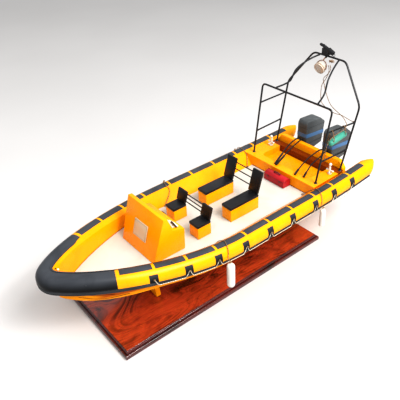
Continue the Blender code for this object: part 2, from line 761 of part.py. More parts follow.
def build_helm():
    """A steering wheel on a short column on the console's aft face, and two control levers."""
    foot = Vector((CONSOLE_AFT_X, WHEEL_Y, DECK_Z + WHEEL_UP))
    along = Vector((-math.sin(WHEEL_TILT), 0, math.cos(WHEEL_TILT)))
    column = as_mesh(rod("wheel_column", [foot - along * 0.002, foot + along * WHEEL_COLUMN], 0.0016, None,
                         resolution=3))
    join_by_cutter(bpy.data.objects["console"], column)
    hub = foot + along * (WHEEL_COLUMN + GAP + 0.0012)
    wheel = as_mesh(rod("steering_wheel", ring_points(WHEEL_RADIUS, 24), WHEEL_ROD, "rod", cyclic=True))
    for turn in range(3):
        angle = math.radians(90 + 120 * turn)
        outward = Vector((math.cos(angle), math.sin(angle), 0))
        ends = [outward * 0.0014, outward * (WHEEL_RADIUS - 0.0001)]
        spoke = as_mesh(rod("spoke_%d" % turn, ends, WHEEL_ROD * 0.7, None, resolution=1))
        join_by_cutter(wheel, spoke)
    boss = turned("wheel_boss", [(0, 0.0012), (0.0022, 0.0012), (0.0022, -0.0012), (0, -0.0012)],
                  (0, 0, 0), None, steps=14)
    join_by_cutter(wheel, boss)
    wheel.matrix_world = Matrix.Translation(hub) @ Matrix.Rotation(-WHEEL_TILT, 4, "Y")
    for cutter in CUTTERS.objects:
        if cutter.name.startswith(("spoke", "wheel_boss")):
            cutter.matrix_world = wheel.matrix_world
    build_levers()


def build_levers():
    """Two levers on a small block at the port end of the dash."""
    dash_lean = math.atan2(CONSOLE_DASH_FRONT[1] - CONSOLE_DASH_AFT[1],
                           CONSOLE_DASH_FRONT[0] - CONSOLE_DASH_AFT[0])
    block = box("control_levers", (-0.0042, -0.0036, -0.0009), (0.0042, 0.0036, 0.0009), "white")
    middle = Vector((0.0588, 0.0290, 0.0))
    share = (middle.x - CONSOLE_DASH_AFT[0]) / (CONSOLE_DASH_FRONT[0] - CONSOLE_DASH_AFT[0])
    middle.z = CONSOLE_DASH_AFT[1] + (CONSOLE_DASH_FRONT[1] - CONSOLE_DASH_AFT[1]) * share
    middle += Vector((-math.sin(dash_lean), 0, math.cos(dash_lean))) * (0.0009 + GAP)
    block.matrix_world = Matrix.Translation(middle) @ Matrix.Rotation(-dash_lean, 4, "Y")
    for name, across, back, forward, rise in LEVERS:
        foot = middle + Vector((-back, across, LEVER_ROD))
        lever = rod("lever_" + name, [foot, foot + Vector((forward, 0, rise))], LEVER_ROD, None)
        join_by_cutter(block, as_mesh(lever))


def ring_points(radius, count):
    turn = 2 * math.pi / count
    return [(math.cos(turn * index) * radius, math.sin(turn * index) * radius, 0) for index in range(count)]


def join_by_cutter(target, piece, operation="UNION"):
    """Joins a helper piece to the target, or cuts it out; the helper is kept as a cutter."""
    for holder in list(piece.users_collection):
        holder.objects.unlink(piece)
    CUTTERS.objects.link(piece)
    piece.hide_render = True
    piece.display_type = "WIRE"
    cut(target, piece, operation)


def build_seats():
    for row, front_x, length, box_height, back_height in SEATS:
        pad_top = DECK_Z + box_height + SEAT_PAD
        backs = []
        for side, sign in (("port", 1), ("starboard", -1)):
            low_y = min(sign * SEAT_INNER_Y, sign * (SEAT_INNER_Y + SEAT_WIDTH))
            name = "seat_%s_%s" % (row, side)
            box(name + "_box", (front_x - length, low_y, DECK_Z + GAP),
                (front_x, low_y + SEAT_WIDTH, DECK_Z + box_height), "yellow")
            box(name + "_pad", (front_x - length, low_y - 0.0004, DECK_Z + box_height + GAP),
                (front_x + 0.0006, low_y + SEAT_WIDTH + 0.0004, pad_top), "black", edge=0.0012)
            place = Matrix.Translation((front_x - length, low_y + SEAT_WIDTH / 2, pad_top + GAP))
            backs.append(seat_back("seat_backs_" + row if sign > 0 else name + "_back", place, back_height))
        join_by_cutter(backs[0], backs[1])
        add_seat_rails(backs[0], row, front_x - length, pad_top + GAP, back_height)


def seat_back(name, place, height):
    back = box(name, (-SEAT_BACK_THICK, -SEAT_WIDTH / 2, 0), (0, SEAT_WIDTH / 2, height), "black", edge=0.0006)
    lean = Matrix.Rotation(-SEAT_BACK_LEAN, 4, "Y")
    lift = Matrix.Translation((SEAT_BACK_THICK, 0, math.sin(SEAT_BACK_LEAN) * SEAT_BACK_THICK))
    back.matrix_world = place @ lift @ lean @ Matrix.Translation(back.location)
    return back


def add_seat_rails(backs, row, aft_x, foot_z, back_height):
    """Three thin rods that tie a row's two backrests together."""
    reach = SEAT_INNER_Y + SEAT_WIDTH / 4
    for number, share in enumerate(RAIL_HEIGHTS):
        up = back_height * share
        x = aft_x + SEAT_BACK_THICK / 2 - math.sin(SEAT_BACK_LEAN) * up
        z = foot_z + math.cos(SEAT_BACK_LEAN) * up
        rail = rod("rail_%s_%d" % (row, number), [(x, -reach, z), (x, reach, z)], RAIL_ROD, None)
        join_by_cutter(backs, as_mesh(rail))


def rounded(points, radius, steps=4):
    """A polyline with each inner corner replaced by an arc-like curve."""
    places = [Vector(point) for point in points]
    path = [places[0]]
    for before, corner, after in zip(places, places[1:], places[2:]):
        start = corner + (before - corner).normalized() * radius
        stop = corner + (after - corner).normalized() * radius
        for step in range(steps + 1):
            t = step / steps
            path.append(start * (1 - t) ** 2 + corner * 2 * t * (1 - t) + stop * t * t)
    path.append(places[-1])
    return path


def hoop(name, half):
    port = [Vector(point) for point in half]
    port[0] = port[0] + Vector((0, 0, GAP + ROD * 0.3))
    both = port + [Vector((p.x, -p.y, p.z)) for p in port[::-1]]
    rod(name, rounded(both, HOOP_BEND), ROD, "rod", resolution=2)


def along(start, stop, share):
    return Vector(start).lerp(Vector(stop), share)


def build_arch():
    hoop("arch_hoop_front", HOOP_FRONT)
    hoop("arch_hoop_rear", HOOP_REAR)
    for level, side, sign, front_share, rear_share in RUNGS:
        front = along(HOOP_FRONT[0], HOOP_FRONT[1], front_share)
        rear = along(HOOP_REAR[0], HOOP_REAR[1], rear_share)
        inset = (rear - front).normalized() * (ROD * 1.3 + GAP)
        flip = Vector((1, sign, 1))
        ends = [(front + inset) * flip, (rear - inset) * flip]
        rod("arch_rung_%s_%s" % (level, side), ends, ROD * 0.85, "rod")
    for side, sign in (("port", 1), ("starboard", -1)):
        front = Vector((HOOP_FRONT[1][0], sign * BRACE_FRONT_Y, HOOP_FRONT[1][2]))
        rear = Vector((HOOP_REAR[2][0], sign * BRACE_REAR_Y, HOOP_REAR[2][2]))
        reach = (rear - front).normalized() * (ROD + 2 * GAP)
        start = front + reach
        stop = rear - reach
        bends = [along(start, stop, share) + Vector((0, 0, lift)) for share, lift in BRACE_BENDS]
        route = [start] + bends + [stop]
        rod("arch_brace_" + side, smooth_route(route, 0.006), ROD * 0.9, "rod")


def build_engines():
    for side, sign in (("port", 1), ("starboard", -1)):
        y = sign * ENGINE_Y
        build_engine(side, y)


def build_engine(side, y):
    cowl = as_mesh(plate("outboard_cowl_" + side, COWL_OUTLINE, 2 * COWL_HALF_WIDTH, "grey", facing_y(y)))
    bevel(cowl, 0.0016, 2, math.radians(20))
    front = HULL_STERN_X - 2 * GAP - TRANSOM_THICK
    leg_front = LEG_TOP[0] + LEG_CHORD / 2
    leg = box("outboard_leg_" + side, (leg_front - LEG_CHORD, y - LEG_THICK / 2, LEG_FOOT_Z - 0.008),
              (leg_front, y + LEG_THICK / 2, LEG_TOP[1] - GAP), "grey")
    bevel(leg, 0.0012, 2)
    bracket = box("bracket_cutter_" + side, (leg_front - 0.0040, y - 0.0060, 0.0745),
                  (front, y + 0.0060, 0.0930), None, edge=0.0008)
    join_by_cutter(leg, bracket)
    gearcase = turned("gearcase_cutter_" + side,
                      [(0, GEARCASE_LENGTH * 0.62), (0.0016, GEARCASE_LENGTH * 0.58),
                       (GEARCASE_RADIUS, GEARCASE_LENGTH * 0.38), (GEARCASE_RADIUS, -GEARCASE_LENGTH * 0.32),
                       (PROP_HUB_RADIUS, -GEARCASE_LENGTH * 0.38), (0, -GEARCASE_LENGTH * 0.38)],
                      (-0.2620, y, LEG_FOOT_Z), None, steps=16, rotation=(0, math.pi / 2, 0))
    join_by_cutter(leg, gearcase)
    build_propeller(side, y)


def build_propeller(side, y):
    hub = turned("propeller_" + side,
                 [(0, PROP_HUB_LENGTH / 2), (PROP_HUB_RADIUS, PROP_HUB_LENGTH / 2),
                  (PROP_HUB_RADIUS, -PROP_HUB_LENGTH * 0.2), (0.0012, -PROP_HUB_LENGTH / 2),
                  (0, -PROP_HUB_LENGTH / 2)],
                 (PROP_X, y, LEG_FOOT_Z), "brass", steps=16, rotation=(0, math.pi / 2, 0))
    for turn in range(PROP_BLADES):
        blade = box("blade_%s_%d" % (side, turn), (0.0012, -0.0026, -0.00045), (PROP_RADIUS, 0.0026, 0.00045),
                    None, collection=CUTTERS)
        shift = Matrix.Translation(blade.location)
        spin = Matrix.Rotation(2 * math.pi * turn / PROP_BLADES, 4, "Z")
        pitch = Matrix.Rotation(math.radians(28), 4, "X")
        place = Matrix.Translation((PROP_X, y, LEG_FOOT_Z)) @ Matrix.Rotation(math.pi / 2, 4, "Y")
        blade.matrix_world = place @ spin @ pitch @ shift
        bevel(blade, 0.0018, 2, math.radians(80))
        blade.hide_render = True
        blade.display_type = "WIRE"
        cut(hub, blade, "UNION")


def build_cables():
    for name, route in CABLES.items():
        rod("control_cable_" + name, smooth_route(route, 0.0045), CABLE_RADIUS, "black")


def build_light():
    """Searchlight hung in a wire yoke under the rear hoop's top bar."""
    turn = (0, math.pi / 2 + LIGHT_DOWN, 0)
    half = LIGHT_DEPTH / 2
    profile = [(0, half - 0.0008), (LIGHT_RADIUS - 0.0010, half - 0.0008), (LIGHT_RADIUS - 0.0010, half),
               (LIGHT_RADIUS, half), (LIGHT_RADIUS, -half * 0.2), (LIGHT_RADIUS * 0.86, -half * 0.75),
               (LIGHT_RADIUS * 0.45, -half), (0, -half)]
    turned("searchlight", profile, LIGHT_CENTRE, "white", steps=24, rotation=turn)
    centre = Vector(LIGHT_CENTRE)
    reach = LIGHT_RADIUS + YOKE_ROD + GAP
    back = Vector((-math.sin(LIGHT_DOWN), 0, math.cos(LIGHT_DOWN)))
    arc = []
    for index in range(13):
        angle = math.radians(-12 + 204 * index / 12)
        arc.append(centre + Vector((0, math.cos(angle) * reach, 0)) + back * math.sin(angle) * reach)
    yoke = as_mesh(rod("light_yoke", arc, YOKE_ROD, "rod"))
    top = centre + back * reach
    hang = Vector((HOOP_REAR[2][0] + 0.0014, centre.y, HOOP_REAR[2][2] - ROD - YOKE_ROD - 2 * GAP))
    join_by_cutter(yoke, as_mesh(rod("yoke_stem", [top, hang], YOKE_ROD * 1.3, None)))


def build_horn():
    """Loudhailer on a clamp block above the rear hoop's top bar."""
    start = Vector(HORN_START)
    run = Vector(HORN_END) - start
    length = run.length
    profile = [(0, length), (0.0034, length), (0.0041, length * 0.62), (0.0028, length * 0.56),
               (0.0030, length * 0.30), (0.0017, length * 0.22), (0.0021, 0.0), (0, 0.0)]
    horn = turned("horn", profile, start, "black", steps=16)
    horn.rotation_euler = run.to_track_quat("Z", "Y").to_euler()
    bar_top = HOOP_REAR[2][2] + ROD + GAP
    block = box("horn_clamp", (HORN_END[0] - 0.0032, HORN_CLAMP_Y[0], bar_top),
                (HORN_END[0] + 0.0032, HORN_CLAMP_Y[1], bar_top + HORN_CLAMP_UP), None)
    join_by_cutter(horn, block)


def build_float():
    start = Vector(FLOAT_START)
    run = Vector(FLOAT_END) - start
    made = turned("marker_float", capsule(FLOAT_RADIUS, run.length), start, "teal", steps=16)
    made.rotation_euler = run.to_track_quat("Z", "Y").to_euler()


def capsule(radius, length, steps=4):
    """Profile of a round-ended cylinder that stands on the origin, listed top to bottom."""
    quarter = [math.pi / 2 * index / steps for index in range(steps + 1)]
    top = [(math.sin(angle) * radius, length - radius + math.cos(angle) * radius) for angle in quarter]
    foot = [(radius * math.cos(angle), radius - math.sin(angle) * radius) for angle in quarter]
    profile = top + foot
    profile[0] = (0, length)
    profile[-1] = (0, 0)
    return profile


def build_light_cords():
    rod("light_cord_tied", smooth_route(LIGHT_CORD_TIED, 0.0028), CORD_RADIUS, "cord")
    rod("light_cord_long", smooth_route(LIGHT_CORD_LONG, 0.0028), CORD_RADIUS, "cord")


def build_toolbox():
    back = BULKHEAD_X + 2 * GAP
    front = back + TOOLBOX_DEPTH
    low = DECK_Z + GAP
    section = [(back, low), (front, low), (front, low + TOOLBOX_BODY), (front - TOOLBOX_LID_IN, low + TOOLBOX_HEIGHT),
               (back + TOOLBOX_LID_IN, low + TOOLBOX_HEIGHT), (back, low + TOOLBOX_BODY)]
    middle = TOOLBOX_LOW_Y + TOOLBOX_LENGTH / 2
    toolbox = as_mesh(plate("toolbox", section, TOOLBOX_LENGTH, "red", facing_y(middle)))
    bevel(toolbox, 0.0005, 1)
    grip_x = (front + back) / 2
    grip_z = low + TOOLBOX_HEIGHT
    grip = [(grip_x, middle - 0.0055, grip_z - 0.001), (grip_x, middle - 0.0055, grip_z + 0.0024),
            (grip_x, middle + 0.0055, grip_z + 0.0024), (grip_x, middle + 0.0055, grip_z - 0.001)]
    join_by_cutter(toolbox, as_mesh(rod("toolbox_handle", rounded(grip, 0.0012, 2), 0.0008, None)))


def build_bitts():
    low = AFT_DECK_TOP_Z + GAP
    profile = [(0, BITT_HEIGHT), (0.0012, BITT_HEIGHT - 0.0004), (0.0020, BITT_HEIGHT - 0.0020),
               (0.0012, BITT_HEIGHT - 0.0038), (BITT_RADIUS, BITT_HEIGHT - 0.0050), (BITT_RADIUS, 0.0012),
               (0.0028, 0.0008), (0.0028, 0.0), (0, 0.0)]
    for side, sign in (("port", 1), ("starboard", -1)):
        foot = Vector((BITT_X, sign * BITT_Y, low))
        bitt = turned("bitt_" + side, profile, foot, "white", steps=12)
        arm_root = foot + Vector((0, 0, 0.0042))
        tips = [Vector((BITT_ARM * 0.8, sign * 0.0030, -0.0016)), Vector((-BITT_ARM * 0.7, sign * 0.0034, -0.0010))]
        for number, tip in enumerate(tips):
            arm = as_mesh(rod("bitt_arm_%s_%d" % (side, number), [arm_root, arm_root + tip], 0.0010, None))
            join_by_cutter(bitt, arm)


def tube_frame(x, sign):
    """Centre of the tube and its outward direction at x, on one side."""
    slope = tube_slope(x) if x > BEND_START_X + 0.001 else 0.0
    outward = Vector((-slope, 1, 0)).normalized()
    return Vector((x, sign * tube_y(x), tube_z(x))), Vector((outward.x, sign * outward.y, 0))


def fender_route(sign, deck_x, tube_x, fender_x, fender_y):
    """Lanyard from the deck's edge up the wall, over the tube and down to the fender."""
    proud = CORD_RADIUS + 3 * GAP
    place, _ = tube_frame(deck_x, sign)
    foot = place.y - sign * (wall_foot(deck_x) + proud)
    route = [Vector((deck_x, foot, DECK_Z + 0.0012))]
    place, _ = tube_frame(tube_x, sign)
    route.append(Vector((tube_x, place.y - sign * (WALL_TOP_IN + proud), place.z + WALL_TOP_UP + GAP)))
    for degrees in (104, 78, 52, 26, 2):
        share = (104 - degrees) / 102
        x = tube_x + (fender_x - tube_x) * 0.6 * share
        place, outward = tube_frame(x, sign)
        route.append(off_tube(place, outward, math.radians(degrees), TUBE_RADIUS + proud))
    route.append(Vector((fender_x, sign * fender_y, FENDER_TOP_Z + 2 * GAP)))
    return route


def build_fenders():
    for name, sign, deck_x, tube_x, fender_x, radius, length in FENDERS:
        place, _ = tube_frame(fender_x, 1)
        fender_y = place.y + TUBE_RADIUS + 2 * STRAKE_RADIUS + 4 * CORD_RADIUS + 3 * GAP + radius
        turned("fender_" + name, capsule(radius, length), (fender_x, sign * fender_y, FENDER_TOP_Z - length),
               "white", steps=16)
        route = fender_route(sign, deck_x, tube_x, fender_x, fender_y)
        rod("fender_lanyard_" + name, smooth_route(route, 0.0026), CORD_RADIUS, "cord")


def build_lifelines():
    ring = TUBE_RADIUS + CORD_RADIUS + 2 * GAP
    over_strake = 2 * STRAKE_RADIUS + GAP
    for side, sign in (("port", 1), ("starboard", -1)):
        line = []
        for span in range(EYES - 1):
            for step in range(SPAN_STEPS + (span == EYES - 2)):
                share = step / SPAN_STEPS
                x = PATCH_FRONT_X - PATCH_PITCH * (span + 1 + share)
                droop = math.sin(math.pi * share) ** 0.6
                place, outward = tube_frame(x, sign)
                angle = EYE_ANGLE + (SAG_ANGLE - EYE_ANGLE) * droop
                line.append(off_tube(place, outward, angle, ring + over_strake * min(1.0, droop / 0.6)))
        rod("lifeline_" + side, line, CORD_RADIUS, "cord")


STATIONS = tube_stations(CONE_START_X)
HULL_STATIONS = tube_stations(HULL_STERN_X)
build_plinth()
build_hull(HULL_STATIONS)
build_cradles()
build_deck(HULL_STATIONS)
build_tube(STATIONS)
build_strake(STATIONS)
build_aft_deck()
build_transom()
build_console()
build_helm()
build_seats()
build_arch()
build_engines()
build_cables()
build_light()
build_horn()
build_float()
build_light_cords()
build_toolbox()
build_bitts()
build_fenders()
build_lifelines()
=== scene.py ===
"""Looks for the display model of a rigid inflatable boat on a wooden plinth.

Metres, +X to the bow, +Y to port, +Z up, the same frame as the CAD.
"""
import math

import bmesh
import bpy
from mathutils import Matrix, Vector


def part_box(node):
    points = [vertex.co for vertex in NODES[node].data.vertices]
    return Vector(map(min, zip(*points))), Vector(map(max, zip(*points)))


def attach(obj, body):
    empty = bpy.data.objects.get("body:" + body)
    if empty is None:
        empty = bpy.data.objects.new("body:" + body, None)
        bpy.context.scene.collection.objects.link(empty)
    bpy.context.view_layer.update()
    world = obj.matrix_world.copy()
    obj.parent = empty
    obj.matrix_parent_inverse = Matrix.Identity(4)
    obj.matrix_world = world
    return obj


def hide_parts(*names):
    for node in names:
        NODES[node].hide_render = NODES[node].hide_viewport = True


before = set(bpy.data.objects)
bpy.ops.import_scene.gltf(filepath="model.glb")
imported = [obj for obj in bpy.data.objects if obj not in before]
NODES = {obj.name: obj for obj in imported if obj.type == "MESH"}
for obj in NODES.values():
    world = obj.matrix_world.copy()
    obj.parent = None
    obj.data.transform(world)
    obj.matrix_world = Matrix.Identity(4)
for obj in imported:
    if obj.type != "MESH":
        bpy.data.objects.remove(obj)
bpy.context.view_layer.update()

# Camera from the fit to the photograph
CAMERA_AT = Vector((0.3642, 0.4847, 0.5354))
CAMERA_AZIMUTH = math.radians(52.52)
CAMERA_ELEVATION = math.radians(34.55)
CAMERA_ROLL = math.radians(-2.91)
FOCAL_PIXELS = 539.9
IMAGE_PIXELS = 400
SENSOR_MM = 36.0

# The CAD's own sizes, as in part.py
GAP = 0.0003
PLINTH_LENGTH = 0.3545
PLINTH_WIDTH = 0.1535
PLINTH_HEIGHT = 0.0098
PLINTH_FOOT_HEIGHT = 0.0060
PLINTH_STEP_IN = 0.0030
PLINTH_TOP_IN = 0.0050
DECK_Z = 0.0835
TUBE_RADIUS = 0.0127
TUBE_HALF_SPAN = 0.0828
TUBE_Z = 0.0898
TUBE_RISE = 0.0202
TUBE_RISE_POWER = 1.53
BEND_START_X = -0.0027
BEND_END_X = 0.2248
PLAN_POWER = 1.76
PLAN_FULLNESS = 0.70
NOSE_RADIUS = 0.0158
STERN_BEND_X = -0.140
STERN_RISE = 0.0032
STERN_TOE_IN = 0.0026
CONE_START_X = -0.267
CONE_END_X = -0.287
CONE_END_RADIUS = 0.0016
CONE_LIFT = 0.0040
STRAKE_RADIUS = 0.0008
STRAKE_ANGLE = math.radians(-34)
WALL_FOOT_AFT = 0.0252
WALL_FOOT_BOW = 0.0145
WALL_FOOT_AFT_X = -0.020
WALL_FOOT_BOW_X = 0.098
WALL_TOP_IN = 0.0124
WALL_TOP_UP = 0.0068
RING_START = math.radians(124)
NOSE_EXTRA_GAPS = 2
CORD_RADIUS = 0.00045
FENDER_TOP_Z = 0.0900
# Fenders: name, side, x at the deck, x on the tube, x of the fender, radius, length
FENDERS = [
    ("port_front", 1, 0.0120, 0.0180, 0.0290, 0.0058, 0.0400),
    ("port_aft", 1, -0.1550, -0.1580, -0.1440, 0.0045, 0.0320),
    ("starboard_front", -1, 0.0125, -0.0050, -0.0205, 0.0058, 0.0400),
    ("starboard_aft", -1, -0.1500, -0.1600, -0.1660, 0.0045, 0.0320),
]
LIGHT_CORD_TIED = [
    (-0.2560, 0.0020, 0.2405), (-0.2566, 0.0036, 0.2350), (-0.2566, 0.0030, 0.2270), (-0.2562, -0.0010, 0.2176),
    (-0.2560, -0.0060, 0.2084), (-0.2560, -0.0072, 0.2011), (-0.2551, -0.0060, 0.1890), (-0.2544, -0.0018, 0.1795),
    (-0.2529, 0.0130, 0.1738), (-0.2515, 0.0258, 0.1728), (-0.2500, 0.0400, 0.1748), (-0.2470, 0.0560, 0.1742),
    (-0.2446, 0.0658, 0.1752),
]
LIGHT_CORD_LONG = [
    (-0.2575, 0.0040, 0.2405), (-0.2582, 0.0052, 0.2340), (-0.2580, 0.0010, 0.2260), (-0.2577, -0.0060, 0.2170),
    (-0.2572, -0.0030, 0.2085), (-0.2550, 0.0030, 0.1985), (-0.2421, 0.0249, 0.1885), (-0.2306, 0.0545, 0.1852),
    (-0.2249, 0.0655, 0.1830), (-0.2215, 0.0712, 0.1790), (-0.2140, 0.0716, 0.1745), (-0.2057, 0.0712, 0.1735),
    (-0.1950, 0.0712, 0.1722), (-0.1850, 0.0718, 0.1685), (-0.1800, 0.0716, 0.1600), (-0.1790, 0.0714, 0.1500),
    (-0.1788, 0.0712, 0.1410),
]
ROD = 0.00140
HOOP_FRONT = [Vector((-0.1723, 0.0646, 0.1004)), Vector((-0.1912, 0.0671, 0.2112))]
HOOP_REAR = [Vector((-0.2260, 0.0655, 0.1004)), Vector((-0.2501, 0.0690, 0.1980)), Vector((-0.2597, 0.0297, 0.2519))]
# Rungs: side, share of the way up the front hoop's leg, and up the rear hoop's leg
RUNGS = [(1, 0.305, 0.336), (-1, 0.321, 0.374), (1, 0.704, 0.767), (-1, 0.732, 0.820)]
BRACE_FRONT_Y = 0.0407
BRACE_REAR_Y = 0.0175
ENGINE_Y = 0.0261
COWL_HALF_WIDTH = 0.0098
COWL_FRONT_X = -0.2412
COWL_AFT_X = -0.2853
LEG_FOOT_Z = 0.0450
PROP_X = -0.2755
PROP_HUB_RADIUS = 0.0028
PROP_HUB_LENGTH = 0.0060
LIGHT_CENTRE = Vector((-0.2500, -0.0066, 0.2372))
LIGHT_DOWN = math.radians(21)
HORN_START = Vector((-0.2594, -0.0175, 0.2665))
HORN_END = Vector((-0.2594, 0.0066, 0.2578))
FLOAT_START = Vector((-0.1890, 0.0684, 0.1600))
FLOAT_END = Vector((-0.2245, 0.0684, 0.1658))
FLOAT_RADIUS = 0.0047
BULKHEAD_X = -0.1615
TOOLBOX_LOW_Y = -0.0150
TOOLBOX_LENGTH = 0.0410
TOOLBOX_DEPTH = 0.0152
TOOLBOX_BODY = 0.0100
TOOLBOX_HEIGHT = 0.0140
TOOLBOX_LID_IN = 0.0042
BITT_X = -0.2080
BITT_Y = 0.0605
BITT_HEIGHT = 0.0165

# Painted patches on the tube, from the photograph: x of each gap in the top row, and of each side patch
PATCH_LINES = [0.1564, 0.1165, 0.0757, 0.0352, -0.0126, -0.0543, -0.0983, -0.1442, -0.1836, -0.2213, -0.2574]
SIDE_PATCHES = [0.1195, 0.0768, 0.0365, -0.0060, -0.0500, -0.0930, -0.1395, -0.1797, -0.2215]
PATCH_GAP = 0.0033
PATCH_LOW = math.radians(68)
PATCH_HIGH = math.radians(118)
SIDE_PATCH_LENGTH = 0.0102
SIDE_PATCH_TOP = (math.radians(36), math.radians(46))
BOW_BLACK_X = 0.1580
BOW_BLACK_LOW = math.radians(-64)
SKIN = 0.00022
SKIN_THICK = 0.0003
EYE_ANGLE = math.radians(10)
SAG_ANGLE = math.radians(-28)


def srgb(red, green, blue):
    """A colour read in 0 to 255 steps, as linear light with full alpha."""
    linear = []
    for level in (red, green, blue):
        share = level / 255
        linear.append(share / 12.92 if share < 0.04045 else ((share + 0.055) / 1.055) ** 2.4)
    return (*linear, 1.0)


def make_camera():
    back = Vector((math.cos(CAMERA_ELEVATION) * math.cos(CAMERA_AZIMUTH),
                   math.cos(CAMERA_ELEVATION) * math.sin(CAMERA_AZIMUTH),
                   math.sin(CAMERA_ELEVATION)))
    right = Vector((0, 0, 1)).cross(back).normalized()
    up = back.cross(right)
    turned_right = right * math.cos(CAMERA_ROLL) + up * math.sin(CAMERA_ROLL)
    turned_up = up * math.cos(CAMERA_ROLL) - right * math.sin(CAMERA_ROLL)
    data = bpy.data.cameras.new("photo_camera")
    data.sensor_width = SENSOR_MM
    data.lens = FOCAL_PIXELS / IMAGE_PIXELS * SENSOR_MM
    data.clip_start = 0.01
    camera = bpy.data.objects.new("photo_camera", data)
    bpy.context.scene.collection.objects.link(camera)
    rows = Matrix((turned_right, turned_up, back)).transposed().to_4x4()
    camera.matrix_world = Matrix.Translation(CAMERA_AT) @ rows
    bpy.context.scene.camera = camera


make_camera()


class Shader:
    """A small helper that adds nodes to one material and links them."""

    def __init__(self, name, roughness=0.4, metallic=0.0, coat=0.0, specular=0.5):
        self.made = bpy.data.materials.new(name)
        self.made.use_nodes = True
        self.tree = self.made.node_tree
        self.main = self.tree.nodes["Principled BSDF"]
        self.main.inputs["Roughness"].default_value = roughness
        self.main.inputs["Metallic"].default_value = metallic
        self.main.inputs["Specular IOR Level"].default_value = specular
        self.main.inputs["Coat Weight"].default_value = coat
        self.main.inputs["Coat Roughness"].default_value = 0.12
        self.place = self.add("ShaderNodeTexCoord").outputs["Object"]

    def add(self, kind, **settings):
        node = self.tree.nodes.new(kind)
        for key, value in settings.items():
            setattr(node, key, value)
        return node

    def link(self, source, target):
        self.tree.links.new(source, target)

    def stretched(self, scale):
        mapping = self.add("ShaderNodeMapping")
        mapping.inputs["Scale"].default_value = scale
        self.link(self.place, mapping.inputs["Vector"])
        return mapping.outputs["Vector"]

    def noise(self, scale, detail=3.0, distortion=0.0, stretch=None, rough=0.5):
        made = self.add("ShaderNodeTexNoise")
        made.inputs["Scale"].default_value = scale
        made.inputs["Detail"].default_value = detail
        made.inputs["Roughness"].default_value = rough
        made.inputs["Distortion"].default_value = distortion
        self.link(self.stretched(stretch) if stretch else self.place, made.inputs["Vector"])
        return made.outputs["Fac"]

    def ramp(self, factor, stops, smooth=True):
        made = self.add("ShaderNodeValToRGB")
        made.color_ramp.interpolation = "EASE" if smooth else "LINEAR"
        while len(made.color_ramp.elements) < len(stops):
            made.color_ramp.elements.new(0.5)
        for element, (position, colour) in zip(made.color_ramp.elements, stops):
            element.position = position
            element.color = colour if len(colour) == 4 else (*colour, 1.0)
        self.link(factor, made.inputs["Fac"])
        return made.outputs["Color"]

    def mix(self, factor, first, second, blend="MIX"):
        made = self.add("ShaderNodeMix", data_type="RGBA", blend_type=blend)
        for socket, value in ((made.inputs[0], factor), (made.inputs[6], first), (made.inputs[7], second)):
            if isinstance(value, (float, int, tuple)):
                socket.default_value = value
            else:
                self.link(value, socket)
        return made.outputs[2]

    def scaled(self, factor, from_low, from_high, low, high):
        made = self.add("ShaderNodeMapRange")
        made.inputs["From Min"].default_value = from_low
        made.inputs["From Max"].default_value = from_high
        made.inputs["To Min"].default_value = low
        made.inputs["To Max"].default_value = high
        self.link(factor, made.inputs["Value"])
        return made.outputs["Result"]

    def edges(self, radius, strength):
        """From 0 on flat ground up to the strength along the piece's own edges."""
        soft = self.add("ShaderNodeBevel", samples=4)
        soft.inputs["Radius"].default_value = radius
        plain = self.add("ShaderNodeNewGeometry")
        same = self.add("ShaderNodeVectorMath", operation="DOT_PRODUCT")
        self.link(soft.outputs["Normal"], same.inputs[0])
        self.link(plain.outputs["Normal"], same.inputs[1])
        return self.scaled(same.outputs["Value"], 0.98, 0.86, 0.0, strength)

    def colour(self, source):
        if isinstance(source, tuple):
            self.main.inputs["Base Color"].default_value = source
        else:
            self.link(source, self.main.inputs["Base Color"])

    def rough(self, factor, low, high):
        self.link(self.scaled(factor, 0.0, 1.0, low, high), self.main.inputs["Roughness"])

    def bump(self, height, strength, distance=0.0005):
        made = self.add("ShaderNodeBump")
        made.inputs["Strength"].default_value = strength
        made.inputs["Distance"].default_value = distance
        self.link(height, made.inputs["Height"])
        self.link(made.outputs["Normal"], self.main.inputs["Normal"])
        if self.main.inputs["Coat Weight"].default_value:
            self.link(made.outputs["Normal"], self.main.inputs["Coat Normal"])


def paint(name, tone, dark, light, roughness=0.3, coat=0.4, specks=0.0, worn=None, specular=0.5, brush=0.10):
    """Brushed and polished paint: cloudy tone, faint brush marks, worn edges and a little dust."""
    shader = Shader(name, roughness, coat=coat, specular=specular)
    cloud = shader.noise(26, 4, 0.6)
    base = shader.ramp(cloud, [(0.30, dark), (0.52, tone), (0.74, light)])
    if specks:
        dust = shader.ramp(shader.noise(900, 2), [(0.66, (0, 0, 0, 1)), (0.74, (specks, specks, specks, 1))])
        base = shader.mix(dust, base, srgb(176, 168, 150))
    if worn:
        base = shader.mix(shader.edges(0.0005, 0.55), base, worn)
    shader.colour(base)
    shader.rough(shader.noise(60, 3), roughness * 0.75, roughness * 1.35)
    strokes = shader.noise(320, 4, 0.3, stretch=(0.25, 1.0, 1.0))
    shader.bump(strokes, brush, 0.00025)
    return shader.made


